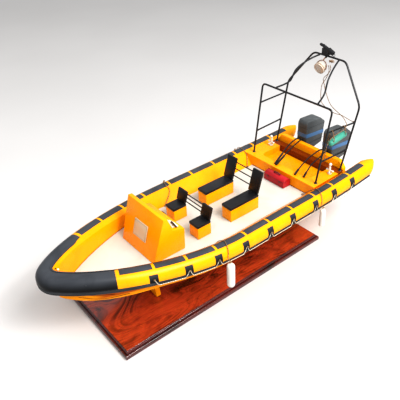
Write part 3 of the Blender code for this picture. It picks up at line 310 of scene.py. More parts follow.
def darker_below(material, dark):
    """Painted sheen and shade: faces that look up keep their lighter tone, as if lit from above, and faces that look
    sideways or down go to the dark one.
    """
    tree = material.node_tree
    main = tree.nodes["Principled BSDF"]
    source = main.inputs["Base Color"].links[0].from_socket
    face = tree.nodes.new("ShaderNodeNewGeometry")
    split = tree.nodes.new("ShaderNodeSeparateXYZ")
    tree.links.new(face.outputs["Normal"], split.inputs["Vector"])
    scale = tree.nodes.new("ShaderNodeMapRange")
    scale.interpolation_type = "SMOOTHSTEP"
    scale.inputs["From Min"].default_value = -0.15
    scale.inputs["From Max"].default_value = 0.95
    tree.links.new(split.outputs["Z"], scale.inputs["Value"])
    mix = tree.nodes.new("ShaderNodeMix")
    mix.data_type = "RGBA"
    mix.inputs[6].default_value = (*dark[:3], 1)
    tree.links.new(scale.outputs["Result"], mix.inputs[0])
    tree.links.new(source, mix.inputs[7])
    tree.links.new(mix.outputs[2], main.inputs["Base Color"])


def wood_colour(shader, scale, dark, middle, bright):
    """Varnished hardwood: dark lines that swirl round a slow noise, over clouds of red and orange."""
    slow = shader.noise(9 * scale, 3, 0.9, stretch=(0.34, 1.0, 1.0), rough=0.5)
    cloud = shader.noise(17 * scale, 5, 1.8, stretch=(0.5, 1.0, 1.0), rough=0.62)
    base = shader.ramp(cloud, [(0.30, middle), (0.50, bright), (0.70, middle)])
    for turns, strength, deepest in ((150.0, 0.85, 0.14), (420.0, 0.55, 0.28)):
        wave = shader.add("ShaderNodeMath", operation="SINE")
        climb = shader.add("ShaderNodeMath", operation="MULTIPLY")
        climb.inputs[1].default_value = turns
        shader.link(slow, climb.inputs[0])
        shader.link(climb.outputs["Value"], wave.inputs[0])
        lines = shader.scaled(wave.outputs["Value"], -1.0, 1.0, 0.0, 1.0)
        veins = shader.ramp(lines, [(0.0, (deepest, deepest * 0.8, deepest * 0.8, 1)),
                                    (0.32, (0.86, 0.80, 0.78, 1)), (0.65, (1, 1, 1, 1))])
        patchy = shader.scaled(shader.noise(30 * scale, 3, 0.5, stretch=(0.4, 1.0, 1.0)), 0.40, 0.62, 0.1, strength)
        base = shader.mix(patchy, base, veins, "MULTIPLY")
    spots = shader.ramp(shader.noise(60 * scale, 6, 1.4, stretch=(0.20, 1.0, 1.0), rough=0.7),
                        [(0.33, (0.24, 0.16, 0.16, 1)), (0.45, (1, 1, 1, 1))])
    base = shader.mix(0.6, base, spots, "MULTIPLY")
    pores = shader.noise(620 * scale, 2, 0.2, stretch=(0.06, 1.0, 1.0))
    fine = shader.ramp(pores, [(0.30, (0.55, 0.55, 0.55, 1)), (0.56, (1, 1, 1, 1))])
    base = shader.mix(0.5, base, fine, "MULTIPLY")
    return shader.mix(0.06, base, dark), pores


def wood_material(name, dark, middle, bright, scale, gloss=0.25):
    shader = Shader(name, gloss, coat=0.6)
    base, pores = wood_colour(shader, scale, dark, middle, bright)
    shader.colour(base)
    shader.rough(shader.noise(40, 2), gloss * 0.7, gloss * 1.4)
    shader.bump(pores, 0.06, 0.0002)
    return shader.made


def rope_material(name, tone, dark):
    shader = Shader(name, 0.85, specular=0.3)
    twist = shader.add("ShaderNodeTexWave", wave_type="BANDS", bands_direction="DIAGONAL")
    twist.inputs["Scale"].default_value = 260.0
    twist.inputs["Distortion"].default_value = 1.2
    shader.link(shader.place, twist.inputs["Vector"])
    shader.colour(shader.ramp(twist.outputs["Fac"], [(0.1, dark), (0.7, tone)]))
    shader.bump(twist.outputs["Fac"], 0.6, 0.0002)
    return shader.made


YELLOW = paint("yellow_paint", (0.92, 0.372, 0.001, 1), (0.87, 0.340, 0.001, 1), (0.96, 0.402, 0.001, 1),
               0.26, 0.0, worn=(0.98, 0.45, 0.01, 1), specular=0.15)
CREAM = paint("deck_paint", srgb(192, 191, 184), srgb(188, 186, 177), srgb(196, 195, 190), 0.5, 0.0, 0.08, brush=0.16,
              specular=0.25)
BLACK = paint("black_paint", srgb(66, 69, 74), srgb(56, 59, 64), srgb(76, 80, 85), 0.32, 0.0, 0.05, specular=0.14)
# Painted sheen and shade on all black paint: grey on faces that look up, near black on sides and undersides
darker_below(BLACK, srgb(7, 7, 8))
SEAT_BLACK = paint("seat_paint", srgb(22, 22, 25), srgb(15, 15, 18), srgb(34, 34, 38), 0.36, 0.0, 0.05,
                   worn=srgb(62, 62, 66), specular=0.4)
STRAKE_GREY = paint("strake_rubber", srgb(44, 48, 52), srgb(32, 36, 40), srgb(58, 63, 68), 0.5, 0.0, 0.05, specular=0.4)
COWL_GREY = paint("cowl_paint", srgb(74, 78, 80), srgb(60, 64, 66), srgb(92, 97, 98), 0.42, 0.0, 0.08,
                  worn=srgb(84, 90, 96), specular=0.45)
STRIPE_BLUE = paint("stripe_paint", srgb(62, 108, 152), srgb(52, 94, 138), srgb(76, 122, 164), 0.36, 0.1)
WHITE = paint("white_paint", srgb(216, 214, 207), srgb(206, 204, 195), srgb(224, 222, 217), 0.35, 0.1, 0.05)
BEIGE = paint("beige_plastic", srgb(168, 148, 122), srgb(152, 132, 106), srgb(182, 164, 140), 0.4, 0.2)
ROD_BLACK = paint("rod_enamel", srgb(26, 26, 29), srgb(18, 18, 21), srgb(38, 37, 39), 0.34, 0.0, 0.05, specular=0.4)
RED = paint("red_paint", srgb(162, 18, 30), srgb(144, 12, 24), srgb(176, 26, 40), 0.3, 0.1, worn=srgb(216, 70, 80), specular=0.3)
RED_DARK = paint("red_trim", srgb(96, 10, 22), srgb(78, 6, 16), srgb(112, 16, 30), 0.36, 0.2)
TEAL = paint("float_paint", srgb(74, 150, 132), srgb(58, 134, 114), srgb(96, 166, 148), 0.42, 0.0, specular=0.3)
ROPE = rope_material("cord_thread", srgb(150, 122, 94), srgb(96, 70, 48))
LINE_CREAM = rope_material("line_thread", srgb(222, 214, 196), srgb(168, 152, 128))
WOOD = wood_material("plinth_wood", srgb(58, 12, 7), srgb(116, 34, 22), srgb(172, 66, 34), 1.0)
# Painted shade: a darker copy of the plinth's wood for its side and moulding faces
WOOD_SHADED_EDGE = wood_material("plinth_edge", srgb(30, 8, 8), srgb(66, 18, 15), srgb(92, 28, 22), 1.0, 0.2)
DARK_BROWN = paint("dark_line_paint", srgb(120, 44, 6), srgb(92, 30, 4), srgb(150, 62, 8), 0.5, 0.0, specular=0.2)
BRASS = paint("propeller_brass", srgb(206, 170, 92), srgb(186, 148, 74), srgb(222, 190, 116), 0.3, 0.0)
BRASS.node_tree.nodes["Principled BSDF"].inputs["Metallic"].default_value = 1.0


def shade_group():
    """A modifier that welds the imported mesh, smooths it and keeps its real edges sharp."""
    group = bpy.data.node_groups.new("soft_shade", "GeometryNodeTree")
    group.interface.new_socket("Geometry", in_out="INPUT", socket_type="NodeSocketGeometry")
    group.interface.new_socket("Geometry", in_out="OUTPUT", socket_type="NodeSocketGeometry")
    start = group.nodes.new("NodeGroupInput")
    stop = group.nodes.new("NodeGroupOutput")
    weld = group.nodes.new("GeometryNodeMergeByDistance")
    weld.inputs["Distance"].default_value = 0.00001
    angle = group.nodes.new("GeometryNodeInputMeshEdgeAngle")
    over = group.nodes.new("FunctionNodeCompare")
    over.operation = "GREATER_THAN"
    over.inputs[1].default_value = math.radians(34)
    faces = group.nodes.new("GeometryNodeSetShadeSmooth")
    faces.domain = "FACE"
    edges = group.nodes.new("GeometryNodeSetShadeSmooth")
    edges.domain = "EDGE"
    edges.inputs["Shade Smooth"].default_value = False
    links = group.links
    links.new(start.outputs[0], weld.inputs["Geometry"])
    links.new(weld.outputs["Geometry"], faces.inputs["Geometry"])
    links.new(faces.outputs["Geometry"], edges.inputs["Geometry"])
    links.new(angle.outputs["Unsigned Angle"], over.inputs[0])
    links.new(over.outputs["Result"], edges.inputs["Selection"])
    links.new(edges.outputs["Geometry"], stop.inputs[0])
    return group


SHADE = shade_group()


def soften(obj):
    made = obj.modifiers.new("soft_shade", "NODES")
    made.node_group = SHADE


def finish_node(name, material):
    node = NODES[name]
    node.data.materials.clear()
    node.data.materials.append(material)
    soften(node)


def add_piece(name, data, material, body="model", smooth=True, place=None):
    made = bpy.data.objects.new(name, data)
    bpy.context.scene.collection.objects.link(made)
    if material:
        data.materials.append(material)
    if place:
        made.matrix_world = place
    if isinstance(data, bpy.types.Mesh) and smooth:
        soften(made)
    bpy.context.view_layer.update()
    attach(made, body)
    return made


def mesh_from(name, build):
    bm = bmesh.new()
    build(bm)
    bmesh.ops.recalc_face_normals(bm, faces=bm.faces)
    mesh = bpy.data.meshes.new(name)
    bm.to_mesh(mesh)
    bm.free()
    return mesh


def bevelled_copy(name, material, width, body="model", segments=2):
    """The CAD node's own solid with its sharp edges rounded off, in the node's place."""
    bm = bmesh.new()
    bm.from_mesh(NODES[name].data)
    bmesh.ops.remove_doubles(bm, verts=bm.verts, dist=0.00001)
    bmesh.ops.dissolve_limit(bm, angle_limit=math.radians(1), verts=bm.verts, edges=bm.edges)
    sharp = [edge for edge in bm.edges if len(edge.link_faces) == 2 and edge.calc_face_angle(0) > math.radians(24)]
    bmesh.ops.bevel(bm, geom=sharp, offset=width, segments=segments, profile=0.5, affect="EDGES", clamp_overlap=True)
    bmesh.ops.recalc_face_normals(bm, faces=bm.faces)
    mesh = bpy.data.meshes.new(name + "_finished")
    bm.to_mesh(mesh)
    bm.free()
    made = add_piece(name + "_finished", mesh, material, body)
    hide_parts(name)
    return made


def tube_curve(name, points, radius, material, resolution=4, cyclic=False, body="model", radii=None):
    return tube_curves(name, [points], radius, material, resolution, cyclic, body, radii)


def tube_curves(name, routes, radius, material, resolution=4, cyclic=False, body="model", radii=None):
    """Round tubes along one or more routes, as one curve object."""
    curve = bpy.data.curves.new(name, "CURVE")
    curve.dimensions = "3D"
    curve.twist_mode = "Z_UP"
    curve.bevel_depth = radius
    curve.bevel_resolution = resolution
    curve.use_fill_caps = not cyclic
    for points in routes:
        spline = curve.splines.new("POLY")
        spline.points.add(len(points) - 1)
        for index, place in enumerate(points):
            spline.points[index].co = (*place, 1.0)
            if radii:
                spline.points[index].radius = radii[index]
        spline.use_cyclic_u = cyclic
        spline.use_smooth = True
    return add_piece(name, curve, material, body)


def turned_mesh(name, profile, steps=32):
    """Turns (radius, height) points about Z; a radius of 0 closes the end."""
    def build(bm):
        rings = []
        for radius, height in profile:
            if radius == 0:
                rings.append([bm.verts.new((0, 0, height))])
                continue
            turn = 2 * math.pi / steps
            rings.append([bm.verts.new((math.cos(turn * index) * radius, math.sin(turn * index) * radius, height))
                          for index in range(steps)])
        for low, high in zip(rings, rings[1:]):
            for index in range(steps):
                after = (index + 1) % steps
                corners = [low[index % len(low)], low[after % len(low)], high[after % len(high)],
                           high[index % len(high)]]
                unique = list(dict.fromkeys(corners))
                if len(unique) > 2:
                    bm.faces.new(unique)

    return mesh_from(name, build)


def turned(name, profile, place, material, steps=32, body="model"):
    return add_piece(name, turned_mesh(name, profile, steps), material, body, place=place)


def pointing(start, run):
    """A matrix that stands at start with its Z axis along the run."""
    return Matrix.Translation(start) @ Vector(run).to_track_quat("Z", "Y").to_matrix().to_4x4()


def smooth_route(route, spacing):
    """Points about one spacing apart on a smooth curve through the route's own points."""
    ends = [Vector(route[0]) * 2 - Vector(route[1])]
    ends += [Vector(place) for place in route]
    ends += [Vector(route[-1]) * 2 - Vector(route[-2])]
    fine = []
    for before, start, stop, after in zip(ends, ends[1:], ends[2:], ends[3:]):
        for step in range(12):
            t = step / 12
            fine.append(0.5 * (2 * start + (stop - before) * t
                               + (2 * before - 5 * start + 4 * stop - after) * t * t
                               + (3 * start - before - 3 * stop + after) * t ** 3))
    fine.append(ends[-2])
    reach = [0.0]
    for here, there in zip(fine, fine[1:]):
        reach.append(reach[-1] + (there - here).length)
    count = max(4, round(reach[-1] / spacing))
    places = []
    seek = 0
    for index in range(count + 1):
        want = reach[-1] * index / count
        while seek < len(reach) - 2 and reach[seek + 1] < want:
            seek += 1
        span = reach[seek + 1] - reach[seek]
        share = (want - reach[seek]) / span if span else 0.0
        places.append(fine[seek].lerp(fine[seek + 1], min(1.0, share)))
    return places


def bend_share(x):
    return min(1.0, max(0.0, (x - BEND_START_X) / (BEND_END_X - BEND_START_X)))


def stern_share(x):
    return max(0.0, (STERN_BEND_X - x) / (STERN_BEND_X - CONE_START_X))


def tube_y(x):
    toe_in = STERN_TOE_IN * stern_share(x) ** 2
    return TUBE_HALF_SPAN * (1 - bend_share(x) ** PLAN_POWER) ** PLAN_FULLNESS - toe_in


def tube_z(x):
    return TUBE_Z + TUBE_RISE * bend_share(x) ** TUBE_RISE_POWER + STERN_RISE * stern_share(x) ** 2


def tube_slope(x, step=0.00002):
    return (tube_y(x + step) - tube_y(x - step)) / (2 * step)


def nose_join():
    low = BEND_START_X + 0.1
    high = BEND_END_X - 0.0001
    for _ in range(50):
        middle = (low + high) / 2
        if tube_y(middle) * math.hypot(1, tube_slope(middle)) > NOSE_RADIUS:
            low = middle
        else:
            high = middle
    return low


JOIN_X = nose_join()


def nose_stations(steps):
    """Centres and outward directions round the port half of the nose arc, join to tip."""
    slope = tube_slope(JOIN_X)
    outward = Vector((-slope, 1, 0)).normalized()
    pivot_x = JOIN_X - outward.x * NOSE_RADIUS
    start_angle = math.atan2(outward.y, outward.x)
    stations = []
    for index in range(1, steps + 1):
        angle = start_angle * (1 - index / steps)
        across = Vector((math.cos(angle), math.sin(angle), 0))
        x = pivot_x + across.x * NOSE_RADIUS
        stations.append((Vector((x, across.y * NOSE_RADIUS, tube_z(x))), across))
    return stations


def tube_frame(x, sign=1):
    """Centre of the tube and its outward direction at x, on one side."""
    slope = tube_slope(x) if x > BEND_START_X + 0.001 else 0.0
    outward = Vector((-slope, 1, 0)).normalized()
    return Vector((x, sign * tube_y(x), tube_z(x))), Vector((outward.x, sign * outward.y, 0))


def off_tube(place, outward, angle, reach):
    return place + outward * math.cos(angle) * reach + Vector((0, 0, math.sin(angle) * reach))


def wall_foot(x):
    share = min(1.0, max(0.0, (x - WALL_FOOT_AFT_X) / (WALL_FOOT_BOW_X - WALL_FOOT_AFT_X)))
    ease = share * share * (3 - 2 * share)
    return WALL_FOOT_AFT + (WALL_FOOT_BOW - WALL_FOOT_AFT) * ease


def spaced(start, stop, step):
    count = max(1, round(abs(stop - start) / step))
    return [start + (stop - start) * index / count for index in range(count + 1)]


def mirrored(stations):
    flip = Vector((1, -1, 1))
    return stations + [(place * flip, outward * flip) for place, outward in stations[-2::-1]]


def side_stations(start, stop, sign, step=0.004):
    return [tube_frame(x, sign) for x in spaced(start, stop, step)]


def hang(name, route):
    """One free cord: a curve in the CAD node's place."""
    points = smooth_route(route, 0.0022)
    cord = tube_curve(name + "_thread", points, CORD_RADIUS, ROPE, resolution=3)
    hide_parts(name)
    return points


def fender_route(sign, deck_x, tube_x, fender_x, fender_y):
    proud = CORD_RADIUS + 3 * GAP
    place, _ = tube_frame(deck_x, sign)
    foot = place.y - sign * (wall_foot(deck_x) + proud)
    route = [Vector((deck_x, foot, DECK_Z + 0.0012))]
    place, _ = tube_frame(tube_x, sign)
    route.append(Vector((tube_x, place.y - sign * (WALL_TOP_IN + proud), place.z + WALL_TOP_UP + GAP)))
    for degrees in (104, 78, 52, 26, 2):
        share = (104 - degrees) / 102
        x = tube_x + (fender_x - tube_x) * 0.6 * share
        place, outward = tube_frame(x, sign)
        route.append(off_tube(place, outward, math.radians(degrees), TUBE_RADIUS + proud))
    route.append(Vector((fender_x, sign * fender_y, FENDER_TOP_Z + 2 * GAP)))
    return route


def knot_route(place, size):
    """A small overhand knot, drawn as a trefoil about the place."""
    points = []
    for index in range(30):
        turn = 2 * math.pi * index / 30
        shape = Vector((math.sin(turn) + 2 * math.sin(2 * turn), math.cos(turn) - 2 * math.cos(2 * turn),
                        -1.4 * math.sin(3 * turn)))
        points.append(Vector(place) + shape * size / 3)
    return points


KNOTS = []


def build_cords():
    tied = hang("light_cord_tied", LIGHT_CORD_TIED)
    longer = hang("light_cord_long", LIGHT_CORD_LONG)
    KNOTS.append(knot_route(tied[-1], 0.0014))
    KNOTS.append(knot_route(longer[-1] + Vector((0, 0, 0.0004)), 0.0011))
    for fender, sign, deck_x, tube_x, fender_x, radius, _ in FENDERS:
        centre, _ = tube_frame(fender_x, 1)
        fender_y = centre.y + TUBE_RADIUS + 2 * STRAKE_RADIUS + 4 * CORD_RADIUS + 3 * GAP + radius
        points = hang("fender_lanyard_" + fender, fender_route(sign, deck_x, tube_x, fender_x, fender_y))
        KNOTS.append(knot_route(points[0] + Vector((0, 0, 0.0002)), 0.0014))
        KNOTS.append(knot_route(points[-1] + Vector((0, 0, 0.0002)), 0.0012))


build_cords()


def fender_profile(radius, length):
    """Foot to top: a round foot and a small eye stub on a round top."""
    stub = 0.0012
    stub_radius = 0.0015
    body_top = length - stub
    profile = [(0, 0)]
    for step in range(1, 7):
        angle = math.pi / 2 * step / 6
        profile.append((radius * math.sin(angle), radius * (1 - math.cos(angle))))
    for step in range(6):
        angle = math.pi / 2 * step / 6
        profile.append((radius * math.cos(angle), body_top - radius + radius * math.sin(angle)))
    return profile + [(stub_radius, body_top - 0.0002), (stub_radius, length - 0.0003),
                      (stub_radius * 0.7, length), (0, length)]


FENDER_SLIM = 0.92


def build_fenders():
    for fender, sign, deck_x, tube_x, fender_x, radius, length in FENDERS:
        centre, _ = tube_frame(fender_x, 1)
        fender_y = centre.y + TUBE_RADIUS + 2 * STRAKE_RADIUS + 4 * CORD_RADIUS + 3 * GAP + radius
        place = Matrix.Translation((fender_x, sign * fender_y, FENDER_TOP_Z - length))
        body = turned("fender_body_" + fender, fender_profile(radius * FENDER_SLIM, length), place, WHITE)
        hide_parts("fender_" + fender)


def ring_of(place, outward, radius, sides):
    return [off_tube(place, outward, 2 * math.pi * index / sides, radius) for index in range(sides)]


CONE_TOP_SHARE = 0.70
BOW_SINK = 0.0003


def tube_rings():
    """Centre, outward direction and radius at each ring of the collar, port stern to nose."""
    root, outward = tube_frame(CONE_START_X)
    rings = []
    for share, radius in ((0.0, 0.0005), (0.012, 0.0013), (0.04, 0.0023), (0.10, 0.0037), (0.22, 0.0058),
                          (0.40, 0.0083), (0.60, 0.0105), (0.78, 0.0119), (0.92, 0.0127)):
        x = CONE_END_X + (CONE_START_X - CONE_END_X) * share
        rings.append((Vector((x, root.y, root.z + (TUBE_RADIUS - radius) * CONE_TOP_SHARE)), outward, radius))
    for x in spaced(CONE_START_X, BEND_START_X, 0.010) + spaced(BEND_START_X + 0.004, JOIN_X, 0.004):
        rings.append((*tube_frame(x), TUBE_RADIUS - (BOW_SINK if x > BOW_BLACK_X + 0.003 else 0.0)))
    return rings + [(place, outward, TUBE_RADIUS - BOW_SINK) for place, outward in nose_stations(10)]


def build_tube():
    """The collar as a smooth round tube with tapered stern cones."""
    port = tube_rings()
    flip = Vector((1, -1, 1))
    stations = port + [(place * flip, outward * flip, radius) for place, outward, radius in port[-2::-1]]
    sides = 40

    def build(bm):
        rings = []
        for place, outward, radius in stations:
            rings.append([bm.verts.new(spot) for spot in ring_of(place, outward, radius, sides)])
        for low, high in zip(rings, rings[1:]):
            for index in range(sides):
                after = (index + 1) % sides
                bm.faces.new((low[index], low[after], high[after], high[index]))
        bm.faces.new(rings[0])
        bm.faces.new(rings[-1])

    made = add_piece("collar_skin", mesh_from("collar_skin", build), YELLOW)
    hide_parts("tube_collar")


def shell_from(bm, top, under):
    """A closed thin shell from two grids of points, row by row."""
    grids = []
    for grid in (top, under):
        grids.append([[bm.verts.new(spot) for spot in row] for row in grid])
    for grid, back in zip(grids, (False, True)):
        for first, second in zip(grid, grid[1:]):
            for index in range(len(first) - 1):
                corners = [first[index], first[index + 1], second[index + 1], second[index]]
                bm.faces.new(corners[::-1] if back else corners)
    rims = []
    for grid in grids:
        rims.append([row[0] for row in grid] + grid[-1][1:] + [row[-1] for row in grid[-2::-1]] + grid[0][-2:0:-1])
    count = len(rims[0])
    for index in range(count):
        after = (index + 1) % count
        bm.faces.new((rims[0][index], rims[0][after], rims[1][after], rims[1][index]))


def skin_patch(bm, stations, low_angles, high_angles, steps, lift=None):
    """A thin shell on the tube over the stations, from a low to a high angle at each of them."""
    top = []
    under = []
    for (place, outward), low, high in zip(stations, low_angles, high_angles):
        angles = [low + (high - low) * index / steps for index in range(steps + 1)]
        lifts = [lift(index / steps) if lift else SKIN for index in range(steps + 1)]
        top.append([off_tube(place, outward, angle, TUBE_RADIUS + rise) for angle, rise in zip(angles, lifts)])
        base = TUBE_RADIUS + min(SKIN, *lifts) - SKIN_THICK
        under.append([off_tube(place, outward, angle, base) for angle in angles])
    shell_from(bm, top, under)


def build_patches():
    def build(bm):
        for sign in (1, -1):
            for fore, aft in zip(PATCH_LINES, PATCH_LINES[1:]):
                last = aft == PATCH_LINES[-1]
                stations = side_stations(fore - PATCH_GAP / 2, aft + (0 if last else PATCH_GAP / 2), sign)
                count = len(stations)
                skin_patch(bm, stations, [PATCH_LOW] * count, [PATCH_HIGH] * count, 6)
            for number, middle in enumerate(SIDE_PATCHES):
                share = number / (len(SIDE_PATCHES) - 1)
                top = SIDE_PATCH_TOP[0] + (SIDE_PATCH_TOP[1] - SIDE_PATCH_TOP[0]) * share
                half = SIDE_PATCH_LENGTH / 2
                stations = side_stations(middle + half, middle - half, sign, 0.0025)
                count = len(stations)
                skin_patch(bm, stations, [STRAKE_ANGLE + 0.03] * count, [top] * count, 10)

    made = add_piece("wear_patches", mesh_from("wear_patches", build), BLACK)


def bow_stations(start):
    return mirrored(side_stations(start, JOIN_X, 1) + nose_stations(12))


LEDGE_EDGE = 0.0034


def build_bow_wrap():
    """The black bow: the tube's whole outside, and the hull's ledge up to its inner edge."""
    stations = bow_stations(BOW_BLACK_X)

    def build(bm):
        count = len(stations)
        skin_patch(bm, stations, [BOW_BLACK_LOW] * count, [PATCH_HIGH] * count, 22, lambda t: -0.0001)

    made = add_piece("bow_wrap", mesh_from("bow_wrap", build), BLACK)

    aft_place, aft_outward = stations[0]
    corner = aft_place + aft_outward * math.cos(PATCH_HIGH) * TUBE_RADIUS
    nose_place, nose_outward = stations[len(stations) // 2]
    apex = nose_place - nose_outward * (WALL_TOP_IN - LEDGE_EDGE)
    chord = apex.xy - corner.xy

    def inner_reach(place, outward):
        """How far inboard the black reaches: up to the straight line from its corner to the apex."""
        side = 1 if place.y >= 0 else -1
        start = Vector((corner.x, corner.y * side))
        run = Vector((chord.x, chord.y * side))
        normal = Vector((-run.y, run.x))
        across = normal.dot(outward.xy)
        reach = normal.dot(place.xy - start) / across if abs(across) > 0.0001 else WALL_TOP_IN
        low = -math.cos(PATCH_HIGH) * TUBE_RADIUS + 0.0002
        return min(WALL_TOP_IN - LEDGE_EDGE, max(low, reach))

    def build_ledge(bm):
        top = []
        under = []
        for place, outward in stations:
            ring = TUBE_RADIUS + GAP * (1 + NOSE_EXTRA_GAPS * max(0.0, outward.x))
            full = WALL_TOP_IN - 0.0004
            heights = ((-math.cos(PATCH_HIGH) * TUBE_RADIUS, math.sin(PATCH_HIGH) * TUBE_RADIUS),
                       (-math.cos(RING_START) * ring, math.sin(RING_START) * ring),
                       (full, WALL_TOP_UP + 0.0004))
            reach = inner_reach(place, outward)
            rows = []
            for wanted in (heights[0][0], min(reach, heights[1][0]), reach):
                for (near, near_up), (far, far_up) in zip(heights, heights[1:]):
                    if wanted <= far or far == full:
                        share = min(1.0, max(0.0, (wanted - near) / (far - near)))
                        up = near_up + (far_up - near_up) * share
                        break
                rows.append(place - outward * wanted + Vector((0, 0, up)))
            if reach > full - 0.0003:
                rows.append(place - outward * (WALL_TOP_IN + 0.0003) + Vector((0, 0, WALL_TOP_UP - 0.0004)))
            else:
                rows.append(rows[-1] - outward * 0.00005 - Vector((0, 0, 0.0002)))
            top.append([spot + Vector((0, 0, SKIN + 0.0002)) for spot in rows])
            under.append([spot - Vector((0, 0, SKIN)) for spot in rows])
        shell_from(bm, top, under)

    made = add_piece("bow_ledge", mesh_from("bow_ledge", build_ledge), BLACK)


def strake_share(x):
    """From 0 aft to 1 at the bow, where the rubbing strake is broad."""
    return min(1.0, max(0.0, (x - 0.040) / 0.100))


def build_strake_band():
    """The flat rubber band behind the strake's bead, broad at the bow, with a dark bead above it."""
    stations = mirrored(side_stations(CONE_START_X + 0.001, JOIN_X, 1) + nose_stations(12))
    shares = [strake_share(place.x) for place, _ in stations]
    low = [math.radians(-44 - 14 * share) for share in shares]
    high = [math.radians(-26 + 12 * share) for share in shares]

    def build(bm):
        skin_patch(bm, stations, low, high, 8, lambda t: 0.0003 + 0.0007 * math.sin(math.pi * t) ** 0.5)

    made = add_piece("strake_band", mesh_from("strake_band", build), STRAKE_GREY)
    edge = [off_tube(place, outward, angle + 0.02, TUBE_RADIUS + 0.0004 - 0.0007 * share)
            for (place, outward), angle, share in zip(stations, high, shares)]
    tube_curve("strake_edge", edge, 0.00035, BLACK, resolution=2)


def lifeline_points(sign):
    """The cord rises to a peak at each side patch and runs under the strake between them."""
    over = TUBE_RADIUS + CORD_RADIUS + 2 * STRAKE_RADIUS + 0.0004
    flat = TUBE_RADIUS + CORD_RADIUS + 2 * SKIN
    marks = []
    for number, eye in enumerate(SIDE_PATCHES):
        if number:
            before = SIDE_PATCHES[number - 1]
            slack = 1.0 if number == len(SIDE_PATCHES) - 1 else 0.0
            for share, drop in ((0.22, 0.3), (0.5, 1.0), (0.78, 0.3)):
                marks.append((before + (eye - before) * share, SAG_ANGLE - math.radians(20) * drop * slack,
                              over + 0.0035 * drop * slack))
        sides = ((0.0056, -27, over), (0.0026, -12, flat), (0.0, 10, flat), (-0.0022, -12, flat), (-0.0046, -27, over))
        for shift, degrees, reach in sides:
            marks.append((eye + shift, math.radians(degrees), reach))
    points = []
    for x, angle, reach in marks[2:-2]:
        place, outward = tube_frame(x, sign)
        points.append(off_tube(place, outward, angle, reach))
    return smooth_route(points, 0.0016)


def build_lifelines():
    for side, sign in (("port", 1), ("starboard", -1)):
        line = tube_curve("lifeline_%s_rope" % side, lifeline_points(sign), CORD_RADIUS, LINE_CREAM, resolution=3)
        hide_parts("lifeline_" + side)
        for eye in SIDE_PATCHES:
            place, outward = tube_frame(eye, sign)
            KNOTS.append(knot_route(off_tube(place, outward, math.radians(8), TUBE_RADIUS + 0.0012), 0.0011))


def build_plinth():
    """The board with its moulding rounded, the wood's figure on top and a darker copy of the wood on the edges as
    painted shade.
    """
    half_length = PLINTH_LENGTH / 2
    half_width = PLINTH_WIDTH / 2
    rings = [(0.0005, 0.0), (0.0001, 0.0002), (0.0, 0.0006), (0.0, 0.0043)]
    bead = 0.0014
    for degrees in range(15, 156, 14):
        angle = math.radians(degrees)
        rings.append((bead - bead * math.cos(angle), PLINTH_FOOT_HEIGHT - bead + bead * math.sin(angle)))
    rings += [(PLINTH_STEP_IN, PLINTH_FOOT_HEIGHT - 0.0009), (PLINTH_STEP_IN + 0.0001, PLINTH_FOOT_HEIGHT)]
    cove = (0.0011, 0.0023)
    for degrees in (20, 45, 70, 90):
        angle = math.radians(degrees)
        rings.append((PLINTH_STEP_IN + 0.0001 + cove[0] * (1 - math.cos(angle)),
                      PLINTH_FOOT_HEIGHT + cove[1] * math.sin(angle)))
    lip = 0.0009
    for degrees in (10, 30, 50, 70, 90):
        angle = math.radians(degrees)
        rings.append((PLINTH_TOP_IN - lip * math.cos(angle), PLINTH_HEIGHT - lip + lip * math.sin(angle)))

    def build(bm):
        loops = []
        for inset, height in rings:
            x = half_length - inset
            y = half_width - inset
            loops.append([bm.verts.new((cx, cy, height)) for cx, cy in ((x, y), (-x, y), (-x, -y), (x, -y))])
        for low, high in zip(loops, loops[1:]):
            for index in range(4):
                after = (index + 1) % 4
                bm.faces.new((low[index], low[after], high[after], high[index]))
        bm.faces.new(loops[0][::-1])
        bm.faces.new(loops[-1])

    made = add_piece("plinth_board", mesh_from("plinth_board", build), WOOD_SHADED_EDGE)
    made.data.materials.append(WOOD)
    for face in made.data.polygons:
        if face.normal.z > 0.99 and face.center.z > PLINTH_HEIGHT - 0.0001:
            face.material_index = 1
    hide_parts("plinth")


BOW_LINES = [
    [(0.2050, 0.0165, 0.0842), (0.1966, 0.0222, 0.0834), (0.1888, 0.0272, 0.0819), (0.1809, 0.0318, 0.0803),
     (0.1706, 0.0373, 0.0785), (0.1610, 0.0425, 0.0772)],
    [(0.1985, 0.0215, 0.0812), (0.1935, 0.0251, 0.0794), (0.1860, 0.0301, 0.0766), (0.1780, 0.0346, 0.0745),
     (0.1697, 0.0390, 0.0735), (0.1586, 0.0440, 0.0734), (0.1449, 0.0494, 0.0734)],
]


def build_bow_lines():
    """Dark lines that run along the hull's bow under the tube."""
    routes = []
    for line in BOW_LINES:
        for sign in (1, -1):
            routes.append(smooth_route([(x, sign * y, z) for x, y, z in line], 0.004))
    tube_curves("bow_lines", routes, 0.00032, DARK_BROWN, resolution=2)


build_fenders()
build_tube()
build_patches()
build_bow_wrap()
build_strake_band()
build_lifelines()
build_bow_lines()
build_plinth()


def box_solid(bm, low, high, place=None):
    size = Vector(high) - Vector(low)
    middle = (Vector(high) + Vector(low)) / 2
    matrix = (place or Matrix()) @ Matrix.Translation(middle) @ Matrix.Diagonal((*size, 1.0))
    return bmesh.ops.create_cube(bm, size=1.0, matrix=matrix)["verts"]


def rounded_box(bm, low, high, width, place=None):
    verts = box_solid(bm, low, high, place)
    edges = list({edge for vert in verts for edge in vert.link_edges})
    bmesh.ops.bevel(bm, geom=edges, offset=width, segments=2, profile=0.5, affect="EDGES", clamp_overlap=True)


